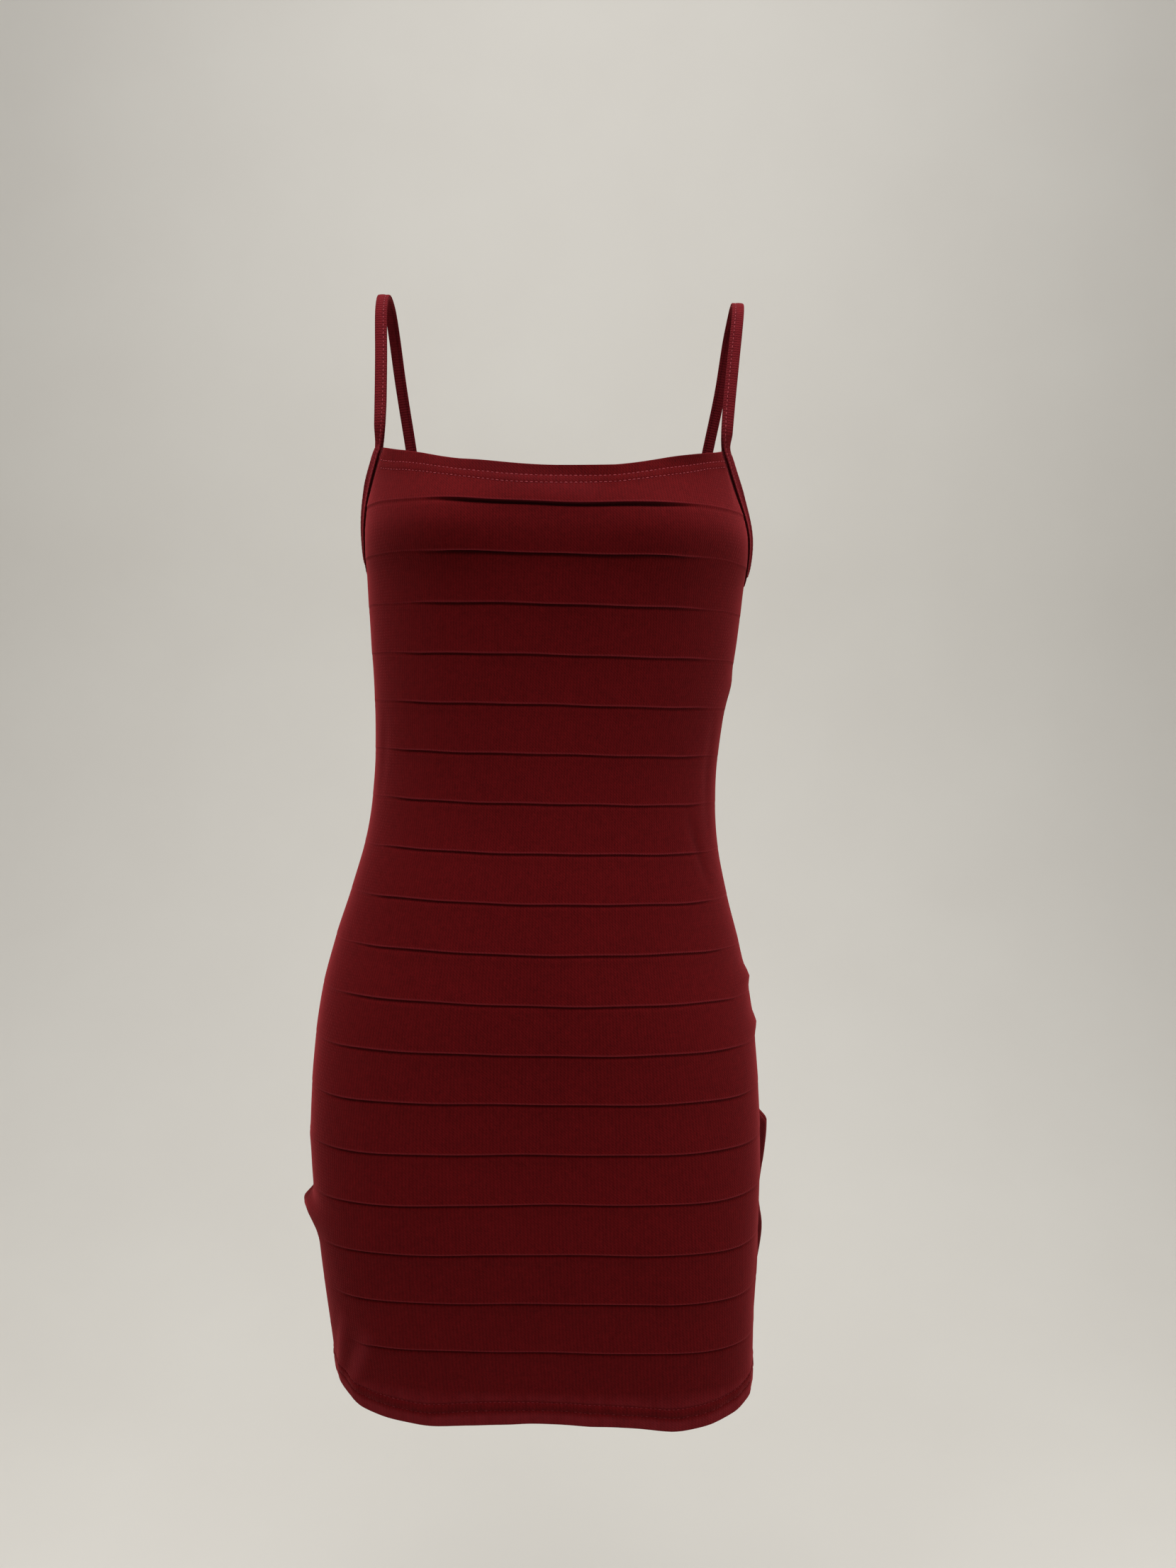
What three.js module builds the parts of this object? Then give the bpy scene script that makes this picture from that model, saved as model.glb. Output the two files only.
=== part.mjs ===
import * as THREE from 'three';

// Bodycon dress in its worn shape. Millimetres, +Z up, front towards -Y,
// origin where the two straps rest on the shoulders, midway between them.

const dress = {
  wall: 1.3,            // stretch knit doubled by its band tucks
  sink: 1.4,            // how far the inner face lies inside the sections below
  seamShare: 0.9989,    // the last column leaves 0.3 of air at a side seam
  bustLobe: { depth: 4.5, x: 76, z: -174, width: 34, height: 30 },
  neckFront: { centre: -135.9, rise: 47.6, power: 1.75, tilt: 2.7, corner: 0.665 },
  neckBack: { centre: -154, rise: 20, power: 2, tilt: 0, corner: 0.53 },
  hem: { turnUp: 14.5, thicker: 0.5 },
  neckHem: { width: 12.5, thicker: 0.45 },
  groove: 1.7,          // height of the step under each band lip
  rise: 9,              // the next band starts to swell this far below a lip
  closeRows: { above: -211, spacing: 8 },  // the bust curves both ways
  foldBands: { from: 12, to: 15, drop: 19 },  // bands with side folds get one more row
  fade: { from: 8, over: 9 },              // relief grows this far from the armholes
};

const tape = {
  width: 8.4,           // folded strap tape, also the armhole binding
  thickness: 2.6,
  slot: 5.6,            // depth of the fold that takes the panel's raw edge
  crease: 0.7,          // what is left of that fold where the strap is closed
  opening: 2.4,         // the fold's height: the wall and 0.55 of air each side
  creaseOpening: 0.3,
  leaf: 0.85,
  edgeAir: 0.3,         // air between the fold's floor and the raw edge
  flare: 2.3,           // the free edge of an armhole binding stands this far out
  flareOver: 0.1,       // and grows to that over this share from a corner
};

// Body sections: widest line at y = centre, half = half width,
// front and back = depths from the widest line, then how square each side is.
const sections = [
  { z: -86, shift: -2, centre: 4, half: 137, front: 80, back: 74, squareFront: 2.2, squareBack: 2.3 },
  { z: -136, shift: -0.8, centre: 4, half: 137, front: 100, back: 81, squareFront: 2.2, squareBack: 2.3 },
  { z: -171, shift: 1.8, centre: 2, half: 138.8, front: 106, back: 86, squareFront: 2.4, squareBack: 2.3 },
  { z: -206, shift: 1.2, centre: 2, half: 136.6, front: 99.5, back: 86, squareFront: 2.2, squareBack: 2.3 },
  { z: -246, shift: 0.8, centre: 0, half: 132.9, front: 90.5, back: 82, squareFront: 2.2, squareBack: 2.3 },
  { z: -286, shift: -0.7, centre: -2, half: 128, front: 84.5, back: 75, squareFront: 2.2, squareBack: 2.2 },
  { z: -336, shift: -2.8, centre: -5, half: 124.7, front: 80, back: 67, squareFront: 2.1, squareBack: 2.2 },
  { z: -381, shift: -4, centre: -7, half: 127.3, front: 80.5, back: 69, squareFront: 2.1, squareBack: 2.2 },
  { z: -421, shift: -5, centre: -9, half: 136.1, front: 84, back: 80, squareFront: 2.1, squareBack: 2.2 },
  { z: -461, shift: -5.5, centre: -11, half: 147.5, front: 87, back: 97, squareFront: 2.1, squareBack: 2.3 },
  { z: -501, shift: -5.3, centre: -12.5, half: 156.4, front: 89, back: 110, squareFront: 2.3, squareBack: 2.4 },
  { z: -551, shift: -4.5, centre: -14.5, half: 161.2, front: 88, back: 117, squareFront: 2.6, squareBack: 2.4 },
  { z: -606, shift: -2.9, centre: -17, half: 162.3, front: 86, back: 111, squareFront: 2.9, squareBack: 2.4 },
  { z: -656, shift: -0.4, centre: -19, half: 159.3, front: 84, back: 101, squareFront: 3.1, squareBack: 2.5 },
  { z: -701, shift: 2.2, centre: -21, half: 155.3, front: 80, back: 94, squareFront: 3.2, squareBack: 2.6 },
  { z: -746, shift: 5.8, centre: -22, half: 152, front: 77, back: 90, squareFront: 3.2, squareBack: 2.7 },
  { z: -796, shift: 9.4, centre: -23, half: 148.7, front: 75, back: 88, squareFront: 3.2, squareBack: 2.8 },
];

// Band lines, counted down from the neckline: nominal height, how far the
// line climbs from side to side, how far it bows at the sides, how its last
// stretch lifts at the seams, and the step of its lip.
const bandCount = 18;
const bands = [
  { line: 0, z: -160.3, tilt: 0.2, bow: 9.5, lift: -4, step: 1.9 },
  { line: 1, z: -192.2, tilt: 0.3, bow: 4.5, lift: -2, step: 1.3 },
  { line: 2, z: -224.3, tilt: 0.2, bow: 2, lift: 0, step: 0.9 },
  { line: 5, z: -323.3, tilt: 0, bow: 0.2, lift: 0, step: 0.8 },
  { line: 10, z: -489.5, tilt: 0.6, bow: -2.4, lift: 0, step: 0.8 },
  { line: 12, z: -555.1, tilt: 3, bow: -6, lift: 3, step: 0.9 },
  { line: 14, z: -622.6, tilt: 4.8, bow: -9, lift: 7, step: 0.9 },
  { line: 17, z: -724.4, tilt: 1.2, bow: -9.5, lift: 9, step: 0.9 },
  { line: 18, z: -759.5, tilt: 0, bow: -3, lift: 3, step: 0.9 },
];

// Armhole edge of each panel against s, the share of the quarter turn
// from centre front or centre back (0) to the side seam (1).
const armholeFront = [
  { s: 0.63, z: -107.5 }, { s: 0.665, z: -112.6 }, { s: 0.715, z: -126 }, { s: 0.765, z: -139 },
  { s: 0.81, z: -154 }, { s: 0.87, z: -174 }, { s: 0.93, z: -188 }, { s: 1, z: -194 },
];
const armholeBack = [
  { s: 0.5, z: -143 }, { s: 0.53, z: -148 }, { s: 0.62, z: -159 }, { s: 0.72, z: -173 },
  { s: 0.82, z: -185 }, { s: 0.91, z: -192 }, { s: 1, z: -194 },
];

// Soft folds that swell the cloth near a side seam (side -1 or +1). `at` is
// their place round the side: below 1 on the front panel, above 1 on the back.
const folds = [
  { side: -1, at: 0.9, z: -651, above: 7.5, below: 13, out: 11, reach: 0.19 },
  { side: -1, at: 0.92, z: -600, above: 6, below: 7, out: 1.2, reach: 0.15 },
  { side: 1, at: 1.07, z: -598, above: 8, below: 28, out: 9, reach: 0.14 },
  { side: 1, at: 0.96, z: -669, above: 17, below: 19, out: 5.5, reach: 0.17 },
  { side: 1, at: 0.94, z: -482, above: 5, below: 5, out: 2.4, reach: 0.15 },
  { side: 1, at: 0.94, z: -515, above: 5, below: 6, out: 2.2, reach: 0.15 },
  { side: 1, at: 0.96, z: -272, above: 10, below: 12, out: 1.8, reach: 0.15 },
];

// Hem edge of the front panel against s: two dips, and higher round the sides.
const hemFront = [
  { s: -1, z: -766 }, { s: -0.68, z: -767.5 }, { s: -0.59, z: -772.2 }, { s: -0.52, z: -777.3 },
  { s: -0.4, z: -779.8 }, { s: -0.3, z: -780.7 }, { s: -0.2, z: -778.2 }, { s: -0.04, z: -775.9 },
  { s: 0.12, z: -776.8 }, { s: 0.24, z: -778.1 }, { s: 0.36, z: -781.8 }, { s: 0.45, z: -780.7 },
  { s: 0.56, z: -777.6 }, { s: 0.68, z: -773.8 }, { s: 0.82, z: -770 }, { s: 1, z: -767 },
];
const hemBack = [
  { s: -1, z: -766 }, { s: -0.5, z: -769 }, { s: 0, z: -770 }, { s: 0.5, z: -769.5 }, { s: 1, z: -767 },
];

// Strap line from the front corner over the shoulder to the back corner;
// lean shifts both straps sideways, and twist is how far one still follows
// the panel's slant rather than facing straight out.
const strapLine = [
  { x: 119.9, y: -46, z: -100, lean: -1.6, twist: 0.75 },
  { x: 120.6, y: -42.5, z: -82, lean: -1.2, twist: 0.45 },
  { x: 122.8, y: -34.5, z: -50, lean: -0.5, twist: 0.15 },
  { x: 125.4, y: -25.5, z: -18, lean: 0, twist: 0 },
  { x: 126.4, y: -17, z: -5, lean: 0.3, twist: 0 },
  { x: 126.8, y: -7, z: 0.5, lean: 0.3, twist: 0 },
  { x: 126.8, y: 4, z: 1.3, lean: 0.3, twist: 0 },
  { x: 126.4, y: 16, z: -3, lean: 0.3, twist: 0 },
  { x: 125.2, y: 28, z: -15, lean: 0, twist: 0 },
  { x: 121.5, y: 41, z: -49, lean: 0, twist: 0.1 },
  { x: 115, y: 53.5, z: -91, lean: -0.5, twist: 0.4 },
  { x: 109, y: 61, z: -129, lean: -1, twist: 0.8 },
];

function cubicAt(rows, axis, column, at) {
  const last = rows.length - 1;
  const up = rows[last][axis] > rows[0][axis] ? 1 : -1;
  let i = 0;
  while (i < last - 1 && (at - rows[i + 1][axis]) * up > 0) i += 1;
  const slope = (j) => {
    const a = rows[Math.max(j - 1, 0)];
    const b = rows[Math.min(j + 1, last)];
    return (b[column] - a[column]) / (b[axis] - a[axis]);
  };
  const span = rows[i + 1][axis] - rows[i][axis];
  const t = Math.min(Math.max((at - rows[i][axis]) / span, 0), 1);
  const p = rows[i][column];
  const q = rows[i + 1][column];
  const a = slope(i) * span;
  const b = slope(i + 1) * span;
  return p + t * (a + t * (3 * (q - p) - 2 * a - b + t * (2 * (p - q) + a + b)));
}

function linearAt(rows, axis, column, at) {
  let i = 0;
  while (i < rows.length - 2 && at > rows[i + 1][axis]) i += 1;
  const t = (at - rows[i][axis]) / (rows[i + 1][axis] - rows[i][axis]);
  return rows[i][column] + Math.min(Math.max(t, 0), 1) * (rows[i + 1][column] - rows[i][column]);
}

const quarter = Math.PI / 2;
const lineHeight = (k) => linearAt(bands, 'line', 'z', k);

// Height in space of the cloth that is nominally at height v.
function heightOf(s, v) {
  const k = Math.min(Math.max(lineNumber(v), 0), bandCount);
  const turn = Math.sin(s * quarter);
  const at = (column) => linearAt(bands, 'line', column, k);
  return v + at('tilt') * turn + at('bow') * turn ** 2 + at('lift') * turn ** 8;
}

function lineNumber(v) {
  let i = 0;
  while (i < bands.length - 2 && v < bands[i + 1].z) i += 1;
  const t = (v - bands[i].z) / (bands[i + 1].z - bands[i].z);
  return bands[i].line + t * (bands[i + 1].line - bands[i].line);
}

function nominalOf(s, z) {
  let v = z;
  for (let pass = 0; pass < 6; pass += 1) v += z - heightOf(s, v);
  return v;
}

function foldOut(side, s, z) {
  const round = side === 'front' ? Math.abs(s) : 2 - Math.abs(s);
  let out = 0;
  for (const fold of folds) {
    if (fold.side * s < 0) continue;
    const down = z > fold.z ? fold.above : fold.below;
    const across = (round - fold.at) / fold.reach;
    out += fold.out * Math.exp(-(((z - fold.z) / down) ** 2) - across * across);
  }
  return out;
}

function bodyAt(side, s, z) {
  const at = (column) => cubicAt(sections, 'z', column, z);
  const front = side === 'front';
  const turn = s * quarter;
  const square = at(front ? 'squareFront' : 'squareBack');
  const sine = Math.sin(turn);
  const cosine = Math.max(Math.cos(turn), 1e-9);
  const k = (Math.abs(sine) ** square + cosine ** square) ** (-1 / square);
  const swell = foldOut(side, s, z);
  const x = at('shift') + (at('half') + swell) * k * sine;
  const depth = at(front ? 'front' : 'back') * k * cosine;
  let y = at('centre') + (front ? -depth : depth);
  if (front) {
    const lobe = dress.bustLobe;
    const rise = Math.exp(-(((z - lobe.z) / lobe.height) ** 2));
    y -= lobe.depth * rise * Math.exp(-(((Math.abs(x) - lobe.x) / lobe.width) ** 2));
  }
  return new THREE.Vector3(x, y, z);
}

function clothFrame(side, s, z) {
  const ds = 0.004;
  const dz = 0.5;
  const across = bodyAt(side, s + ds, z).sub(bodyAt(side, s - ds, z)).divideScalar(2 * ds);
  const up = bodyAt(side, s, z + dz).sub(bodyAt(side, s, z - dz)).divideScalar(2 * dz);
  const normal = across.clone().cross(up).normalize();
  if (side === 'back') normal.negate();
  return { across, up, normal };
}

// Frames are taken a little inside the seam, where both neighbours exist.
const frameShare = 0.995;
const insideSeam = (s) => Math.sign(s) * Math.min(Math.abs(s), frameShare);
const wallMiddle = dress.wall / 2 - dress.sink;

function neckHeight(side, s) {
  const neck = side === 'front' ? dress.neckFront : dress.neckBack;
  return neck.centre + neck.rise * Math.abs(s) ** neck.power + neck.tilt * s;
}

function topHeight(side, s) {
  const corner = side === 'front' ? dress.neckFront.corner : dress.neckBack.corner;
  if (Math.abs(s) <= corner) return neckHeight(side, s);
  return cubicAt(side === 'front' ? armholeFront : armholeBack, 's', 'z', Math.abs(s));
}

function hemHeight(side, s) {
  return cubicAt(side === 'front' ? hemFront : hemBack, 's', 'z', s);
}

const halfShares = {
  front: [0.1, 0.2, 0.3, 0.4, 0.5, 0.59, 0.665, 0.71, 0.755, 0.8, 0.84, 0.88, 0.92, 0.96],
  back: [0.11, 0.22, 0.33, 0.43, 0.53, 0.59, 0.66, 0.74, 0.82, 0.89, 0.95],
};

function shares(side) {
  const half = [...halfShares[side], dress.seamShare];
  return [...half.map((s) => -s).reverse(), 0, ...half];
}

// The armhole edges, where the tape lies and all relief dies out.
const armholeEdges = { front: [], back: [] };
for (const side of ['front', 'back']) {
  const corner = side === 'front' ? dress.neckFront.corner : dress.neckBack.corner;
  const edge = shares(side).filter((s) => s >= corner);
  for (const sign of [-1, 1]) {
    const points = edge.map((s) => bodyAt(side, sign * s, topHeight(side, sign * s)));
    points.slice(1).forEach((point, i) => armholeEdges[side].push(new THREE.Line3(points[i], point)));
  }
}

function edgeFade(side, point) {
  const closest = new THREE.Vector3();
  let nearest = Infinity;
  for (const line of armholeEdges[side]) {
    line.closestPointToPoint(point, true, closest);
    nearest = Math.min(nearest, closest.distanceTo(point));
  }
  return Math.min(Math.max((nearest - dress.fade.from) / dress.fade.over, 0), 1);
}

// Outward relief over the plain inner face at nominal height v.
function reliefAt(s, v) {
  const k = lineNumber(v);
  const fade = 1 - 0.55 * s ** 4;
  const above = Math.floor(k + 1e-9);
  let out = 0;
  if (v <= bands[0].z + 1e-6 && above < bandCount) {
    const below = lineHeight(above) - v;
    const pitch = lineHeight(above) - lineHeight(above + 1);
    const last = above === bandCount - 1;
    const next = last ? 0 : linearAt(bands, 'line', 'step', above + 1);
    if (below < dress.groove) out = linearAt(bands, 'line', 'step', above) * (1 - below / dress.groove);
    else out = next * Math.max((below - dress.rise) / (pitch - dress.rise), 0.1);
  } else if (v > bands[0].z) {
    const down = Math.min(bands[0].z - v, 0);
    out = bands[0].step * Math.max(1 + down / 14, 0);
  }
  return out * fade;
}

function outerPoint(side, s, v, extra) {
  const z = heightOf(s, v);
  const { normal } = clothFrame(side, insideSeam(s), z);
  const point = bodyAt(side, s, z);
  const relief = (reliefAt(s, v) + extra) * edgeFade(side, point);
  return point.addScaledVector(normal, dress.wall - dress.sink + relief);
}

function innerPoint(side, s, v) {
  const z = heightOf(s, v);
  const { normal } = clothFrame(side, insideSeam(s), z);
  return bodyAt(side, s, z).addScaledVector(normal, -dress.sink);
}

function columnRows(side, s) {
  const top = nominalOf(s, topHeight(side, s));
  const hem = nominalOf(s, hemHeight(side, s));
  const corner = side === 'front' ? dress.neckFront.corner : dress.neckBack.corner;
  const rows = [];
  const turned = Math.abs(s) < corner - 0.01;
  rows.push({ v: top, extra: turned ? dress.neckHem.thicker * 0.5 : 0 });
  if (turned) {
    rows.push({ v: top - 3, extra: dress.neckHem.thicker });
    rows.push({ v: top - dress.neckHem.width + 2, extra: dress.neckHem.thicker });
    rows.push({ v: top - dress.neckHem.width, extra: 0 });
  }
  const floor = rows[rows.length - 1].v - 1.2;
  for (let k = 0; k < bandCount; k += 1) {
    const lip = lineHeight(k);
    const drops = [0, dress.groove, dress.rise];
    if (k >= dress.foldBands.from && k <= dress.foldBands.to) drops.push(dress.foldBands.drop);
    for (const drop of drops) {
      if (lip - drop < floor) rows.push({ v: lip - drop, extra: 0 });
    }
  }
  rows.push({ v: hem + dress.hem.turnUp, extra: 0 });
  rows.push({ v: hem + dress.hem.turnUp - 2, extra: dress.hem.thicker });
  rows.push({ v: hem + 1.2, extra: dress.hem.thicker });
  rows.push({ v: hem, extra: dress.hem.thicker * 0.4 });
  return closeUp(rows);
}

function closeUp(rows) {
  const { above, spacing } = dress.closeRows;
  const filled = [rows[0]];
  for (let r = 1; r < rows.length; r += 1) {
    const from = rows[r - 1].v;
    const step = rows[r].v - from;
    const count = rows[r].v > above ? Math.ceil(-step / spacing) : 1;
    for (let n = 1; n < count; n += 1) filled.push({ v: from + (step * n) / count, extra: 0 });
    filled.push(rows[r]);
  }
  return filled;
}

// Joins two neighbouring columns of points, whatever their lengths.
function zipColumns(left, right, heightsLeft, heightsRight, flip, faces) {
  let i = 0;
  let j = 0;
  while (i < left.length - 1 || j < right.length - 1) {
    const leftNext = i < left.length - 1 ? heightsLeft[i + 1] : -Infinity;
    const rightNext = j < right.length - 1 ? heightsRight[j + 1] : -Infinity;
    let face;
    if (leftNext >= rightNext) {
      face = [left[i], left[i + 1], right[j]];
      i += 1;
    } else {
      face = [left[i], right[j + 1], right[j]];
      j += 1;
    }
    faces.push(flip ? [face[0], face[2], face[1]] : face);
  }
}

function panelSolid(side, columnShares) {
  const points = [];
  const faces = [];
  const columns = columnShares.map((s) => {
    const rows = columnRows(side, s);
    const outer = rows.map((row) => points.push(outerPoint(side, s, row.v, row.extra)) - 1);
    const inner = rows.map((row) => points.push(innerPoint(side, s, row.v)) - 1);
    return { outer, inner, heights: rows.map((row) => row.v) };
  });
  const back = side === 'back';
  for (let c = 0; c < columns.length - 1; c += 1) {
    const a = columns[c];
    const b = columns[c + 1];
    zipColumns(a.outer, b.outer, a.heights, b.heights, back, faces);
    zipColumns(a.inner, b.inner, a.heights, b.heights, !back, faces);
    for (const [row, last] of [[0, false], [a.outer.length - 1, true]]) {
      const other = last ? b.outer.length - 1 : 0;
      const quad = [a.outer[row], b.outer[other], b.inner[other], a.inner[row]];
      if (last !== back) quad.reverse();
      faces.push([quad[0], quad[1], quad[2]], [quad[0], quad[2], quad[3]]);
    }
  }
  for (const end of [0, columns.length - 1]) {
    const { outer, inner } = columns[end];
    for (let r = 0; r < outer.length - 1; r += 1) {
      const quad = [outer[r], inner[r], inner[r + 1], outer[r + 1]];
      if ((end !== 0) !== back) quad.reverse();
      faces.push([quad[0], quad[1], quad[2]], [quad[0], quad[2], quad[3]]);
    }
  }
  return { points, faces };
}

// The tape's section: `in` runs from its free edge towards the panel,
// `out` from the middle of the panel's wall outwards.
function tapeSection(bound) {
  const mix = (closed, open) => closed + (open - closed) * bound;
  const gap = mix(tape.creaseOpening, tape.opening) / 2;
  const half = mix(tape.thickness / 2, tape.opening / 2 + tape.leaf);
  const floor = tape.width - mix(tape.crease, tape.slot);
  const round = 0.6;
  const upper = [
    { in: floor, out: gap },
    { in: tape.width, out: gap },
    { in: tape.width, out: half - round * 0.5 },
    { in: tape.width - round, out: half },
    { in: round, out: half },
    { in: 0, out: half - round },
  ];
  const lower = upper.map((corner) => ({ in: corner.in, out: -corner.out })).reverse();
  return [...upper, ...lower];
}

function tapeStations(sign) {
  const edgeStation = (side, share) => {
    const s = sign * share;
    const z = topHeight(side, s);
    const { normal } = clothFrame(side, insideSeam(s), z);
    const point = bodyAt(side, s, z).addScaledVector(normal, wallMiddle);
    return { point, normal, bound: 1, side, s, z };
  };
  const cornerFront = dress.neckFront.corner;
  const cornerBack = dress.neckBack.corner;
  const frontEdge = [...halfShares.front, 1].filter((s) => s >= cornerFront).reverse();
  const backEdge = halfShares.back.filter((s) => s >= cornerBack);
  const strap = strapLine.map((row) => ({
    point: new THREE.Vector3(sign * row.x + row.lean, row.y, row.z),
    bound: 0,
    twist: row.twist,
  }));
  const stations = [
    ...frontEdge.map((share) => edgeStation('front', share)),
    ...strap,
    ...backEdge.map((share) => edgeStation('back', share)),
  ];
  const firstNormal = stations[frontEdge.length - 1].normal;
  const lastNormal = stations[frontEdge.length + strap.length].normal;
  const sideways = new THREE.Vector3(1, 0, 0);
  stations.forEach((station, i) => {
    const before = stations[(i + stations.length - 1) % stations.length].point;
    const after = stations[(i + 1) % stations.length].point;
    const along = after.clone().sub(before).normalize();
    let normal = station.normal;
    if (!normal) {
      const near = i < frontEdge.length + strap.length / 2 ? firstNormal : lastNormal;
      normal = sideways.clone().cross(along).normalize().lerp(near, station.twist);
    }
    normal.addScaledVector(along, -normal.dot(along)).normalize();
    station.along = along;
    station.outward = normal.clone();
    station.inward = normal.clone().cross(along).multiplyScalar(sign);
  });
  return stations;
}

function flareAt(side, s) {
  const corner = side === 'front' ? dress.neckFront.corner : dress.neckBack.corner;
  return tape.flare * Math.min(Math.max((Math.abs(s) - corner) / tape.flareOver, 0), 1);
}

// The point of a section: on the strap it is flat, on an armhole it follows the cloth.
function tapePoint(station, inwards, outwards) {
  const { point, inward, outward, side, s, z } = station;
  if (!station.bound) {
    const across = inwards - tape.width / 2;
    return point.clone().addScaledVector(inward, across).addScaledVector(outward, outwards);
  }
  const { across, up } = clothFrame(side, insideSeam(s), z);
  const skew = across.dot(up);
  const size = across.lengthSq() * up.lengthSq() - skew * skew;
  const reach = inwards - (tape.width - tape.slot + tape.edgeAir);
  const turn = (inward.dot(across) * up.lengthSq() - inward.dot(up) * skew) / size;
  const climb = (inward.dot(up) * across.lengthSq() - inward.dot(across) * skew) / size;
  const share = s + turn * reach;
  const height = z + climb * reach;
  const { normal } = clothFrame(side, insideSeam(share), height);
  const free = Math.max(1 - inwards / (tape.width - tape.slot), 0);
  const lifted = outwards + flareAt(side, s) * free;
  return bodyAt(side, share, height).addScaledVector(normal, wallMiddle + lifted);
}

function tapeSolid(sign) {
  const points = [];
  const faces = [];
  const stations = tapeStations(sign);
  for (const station of stations) {
    for (const corner of tapeSection(station.bound)) {
      points.push(tapePoint(station, corner.in, corner.out));
    }
  }
  const ring = tapeSection(1).length;
  for (let i = 0; i < stations.length; i += 1) {
    const next = (i + 1) % stations.length;
    for (let j = 0; j < ring; j += 1) {
      const k = (j + 1) % ring;
      const quad = [i * ring + j, i * ring + k, next * ring + k, next * ring + j];
      if (sign < 0) quad.reverse();
      faces.push([quad[0], quad[1], quad[2]], [quad[0], quad[2], quad[3]]);
    }
  }
  return { points, faces };
}

const burgundy = { color: 0x5f1019, roughness: 0.85, metalness: 0 };

function mesh(name, solid) {
  const position = new Float32Array(solid.points.length * 3);
  solid.points.forEach((point, i) => point.toArray(position, i * 3));
  const geometry = new THREE.BufferGeometry();
  geometry.setAttribute('position', new THREE.BufferAttribute(position, 3));
  geometry.setIndex(solid.faces.flat());
  geometry.computeVertexNormals();
  const part = new THREE.Mesh(geometry, new THREE.MeshStandardMaterial(burgundy));
  part.name = name;
  return part;
}

const group = new THREE.Group();
group.name = 'bodycon_dress';
group.add(mesh('front_panel', panelSolid('front', shares('front'))));
group.add(mesh('back_panel', panelSolid('back', shares('back'))));
group.add(mesh('strap_binding_right', tapeSolid(-1)));
group.add(mesh('strap_binding_left', tapeSolid(1)));

export default group;
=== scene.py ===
import math
import bpy
import numpy as np
from mathutils import Matrix, Vector


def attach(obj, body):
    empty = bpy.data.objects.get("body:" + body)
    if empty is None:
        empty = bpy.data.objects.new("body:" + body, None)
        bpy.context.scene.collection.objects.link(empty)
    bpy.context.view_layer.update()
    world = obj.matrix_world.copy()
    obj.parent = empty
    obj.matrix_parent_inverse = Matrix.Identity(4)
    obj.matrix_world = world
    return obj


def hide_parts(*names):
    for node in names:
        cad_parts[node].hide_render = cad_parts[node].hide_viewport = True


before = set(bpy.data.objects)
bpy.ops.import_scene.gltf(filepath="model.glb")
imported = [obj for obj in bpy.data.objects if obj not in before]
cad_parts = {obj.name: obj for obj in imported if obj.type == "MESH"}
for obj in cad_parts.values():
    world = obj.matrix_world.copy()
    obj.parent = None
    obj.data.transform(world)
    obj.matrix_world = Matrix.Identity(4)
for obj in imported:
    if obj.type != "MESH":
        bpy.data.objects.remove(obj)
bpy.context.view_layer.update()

# Burgundy bodycon dress in its worn shape. Tables and sizes are in millimetres,
# in the frame of the solids; meshes and patterns are in metres.

mm = 0.001


def table(columns, *rows):
    return dict(zip(columns.split(), np.array(rows, float).T))


# The worn form: widest line at y = centre, depths to the front and back of it,
# and how square each side is.
sections = table(
    "z shift centre half front back squareFront squareBack",
    (-86, -2, 4, 137, 80, 74, 2.2, 2.3),
    (-136, -0.8, 4, 137, 100, 81, 2.2, 2.3),
    (-171, 1.8, 2, 138.8, 106, 86, 2.4, 2.3),
    (-206, 1.2, 2, 136.6, 99.5, 86, 2.2, 2.3),
    (-246, 0.8, 0, 132.9, 90.5, 82, 2.2, 2.3),
    (-286, -0.7, -2, 128, 84.5, 75, 2.2, 2.2),
    (-336, -2.8, -5, 124.7, 80, 67, 2.1, 2.2),
    (-381, -4, -7, 127.3, 80.5, 69, 2.1, 2.2),
    (-421, -5, -9, 136.1, 84, 80, 2.1, 2.2),
    (-461, -5.5, -11, 147.5, 87, 97, 2.1, 2.3),
    (-501, -5.3, -12.5, 156.4, 89, 110, 2.3, 2.4),
    (-551, -4.5, -14.5, 161.2, 88, 117, 2.6, 2.4),
    (-606, -2.9, -17, 162.3, 86, 111, 2.9, 2.4),
    (-656, -0.4, -19, 159.3, 84, 101, 3.1, 2.5),
    (-701, 2.2, -21, 155.3, 80, 94, 3.2, 2.6),
    (-746, 5.8, -22, 152, 77, 90, 3.2, 2.7),
    (-796, 9.4, -23, 148.7, 75, 88, 3.2, 2.8),
)

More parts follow.
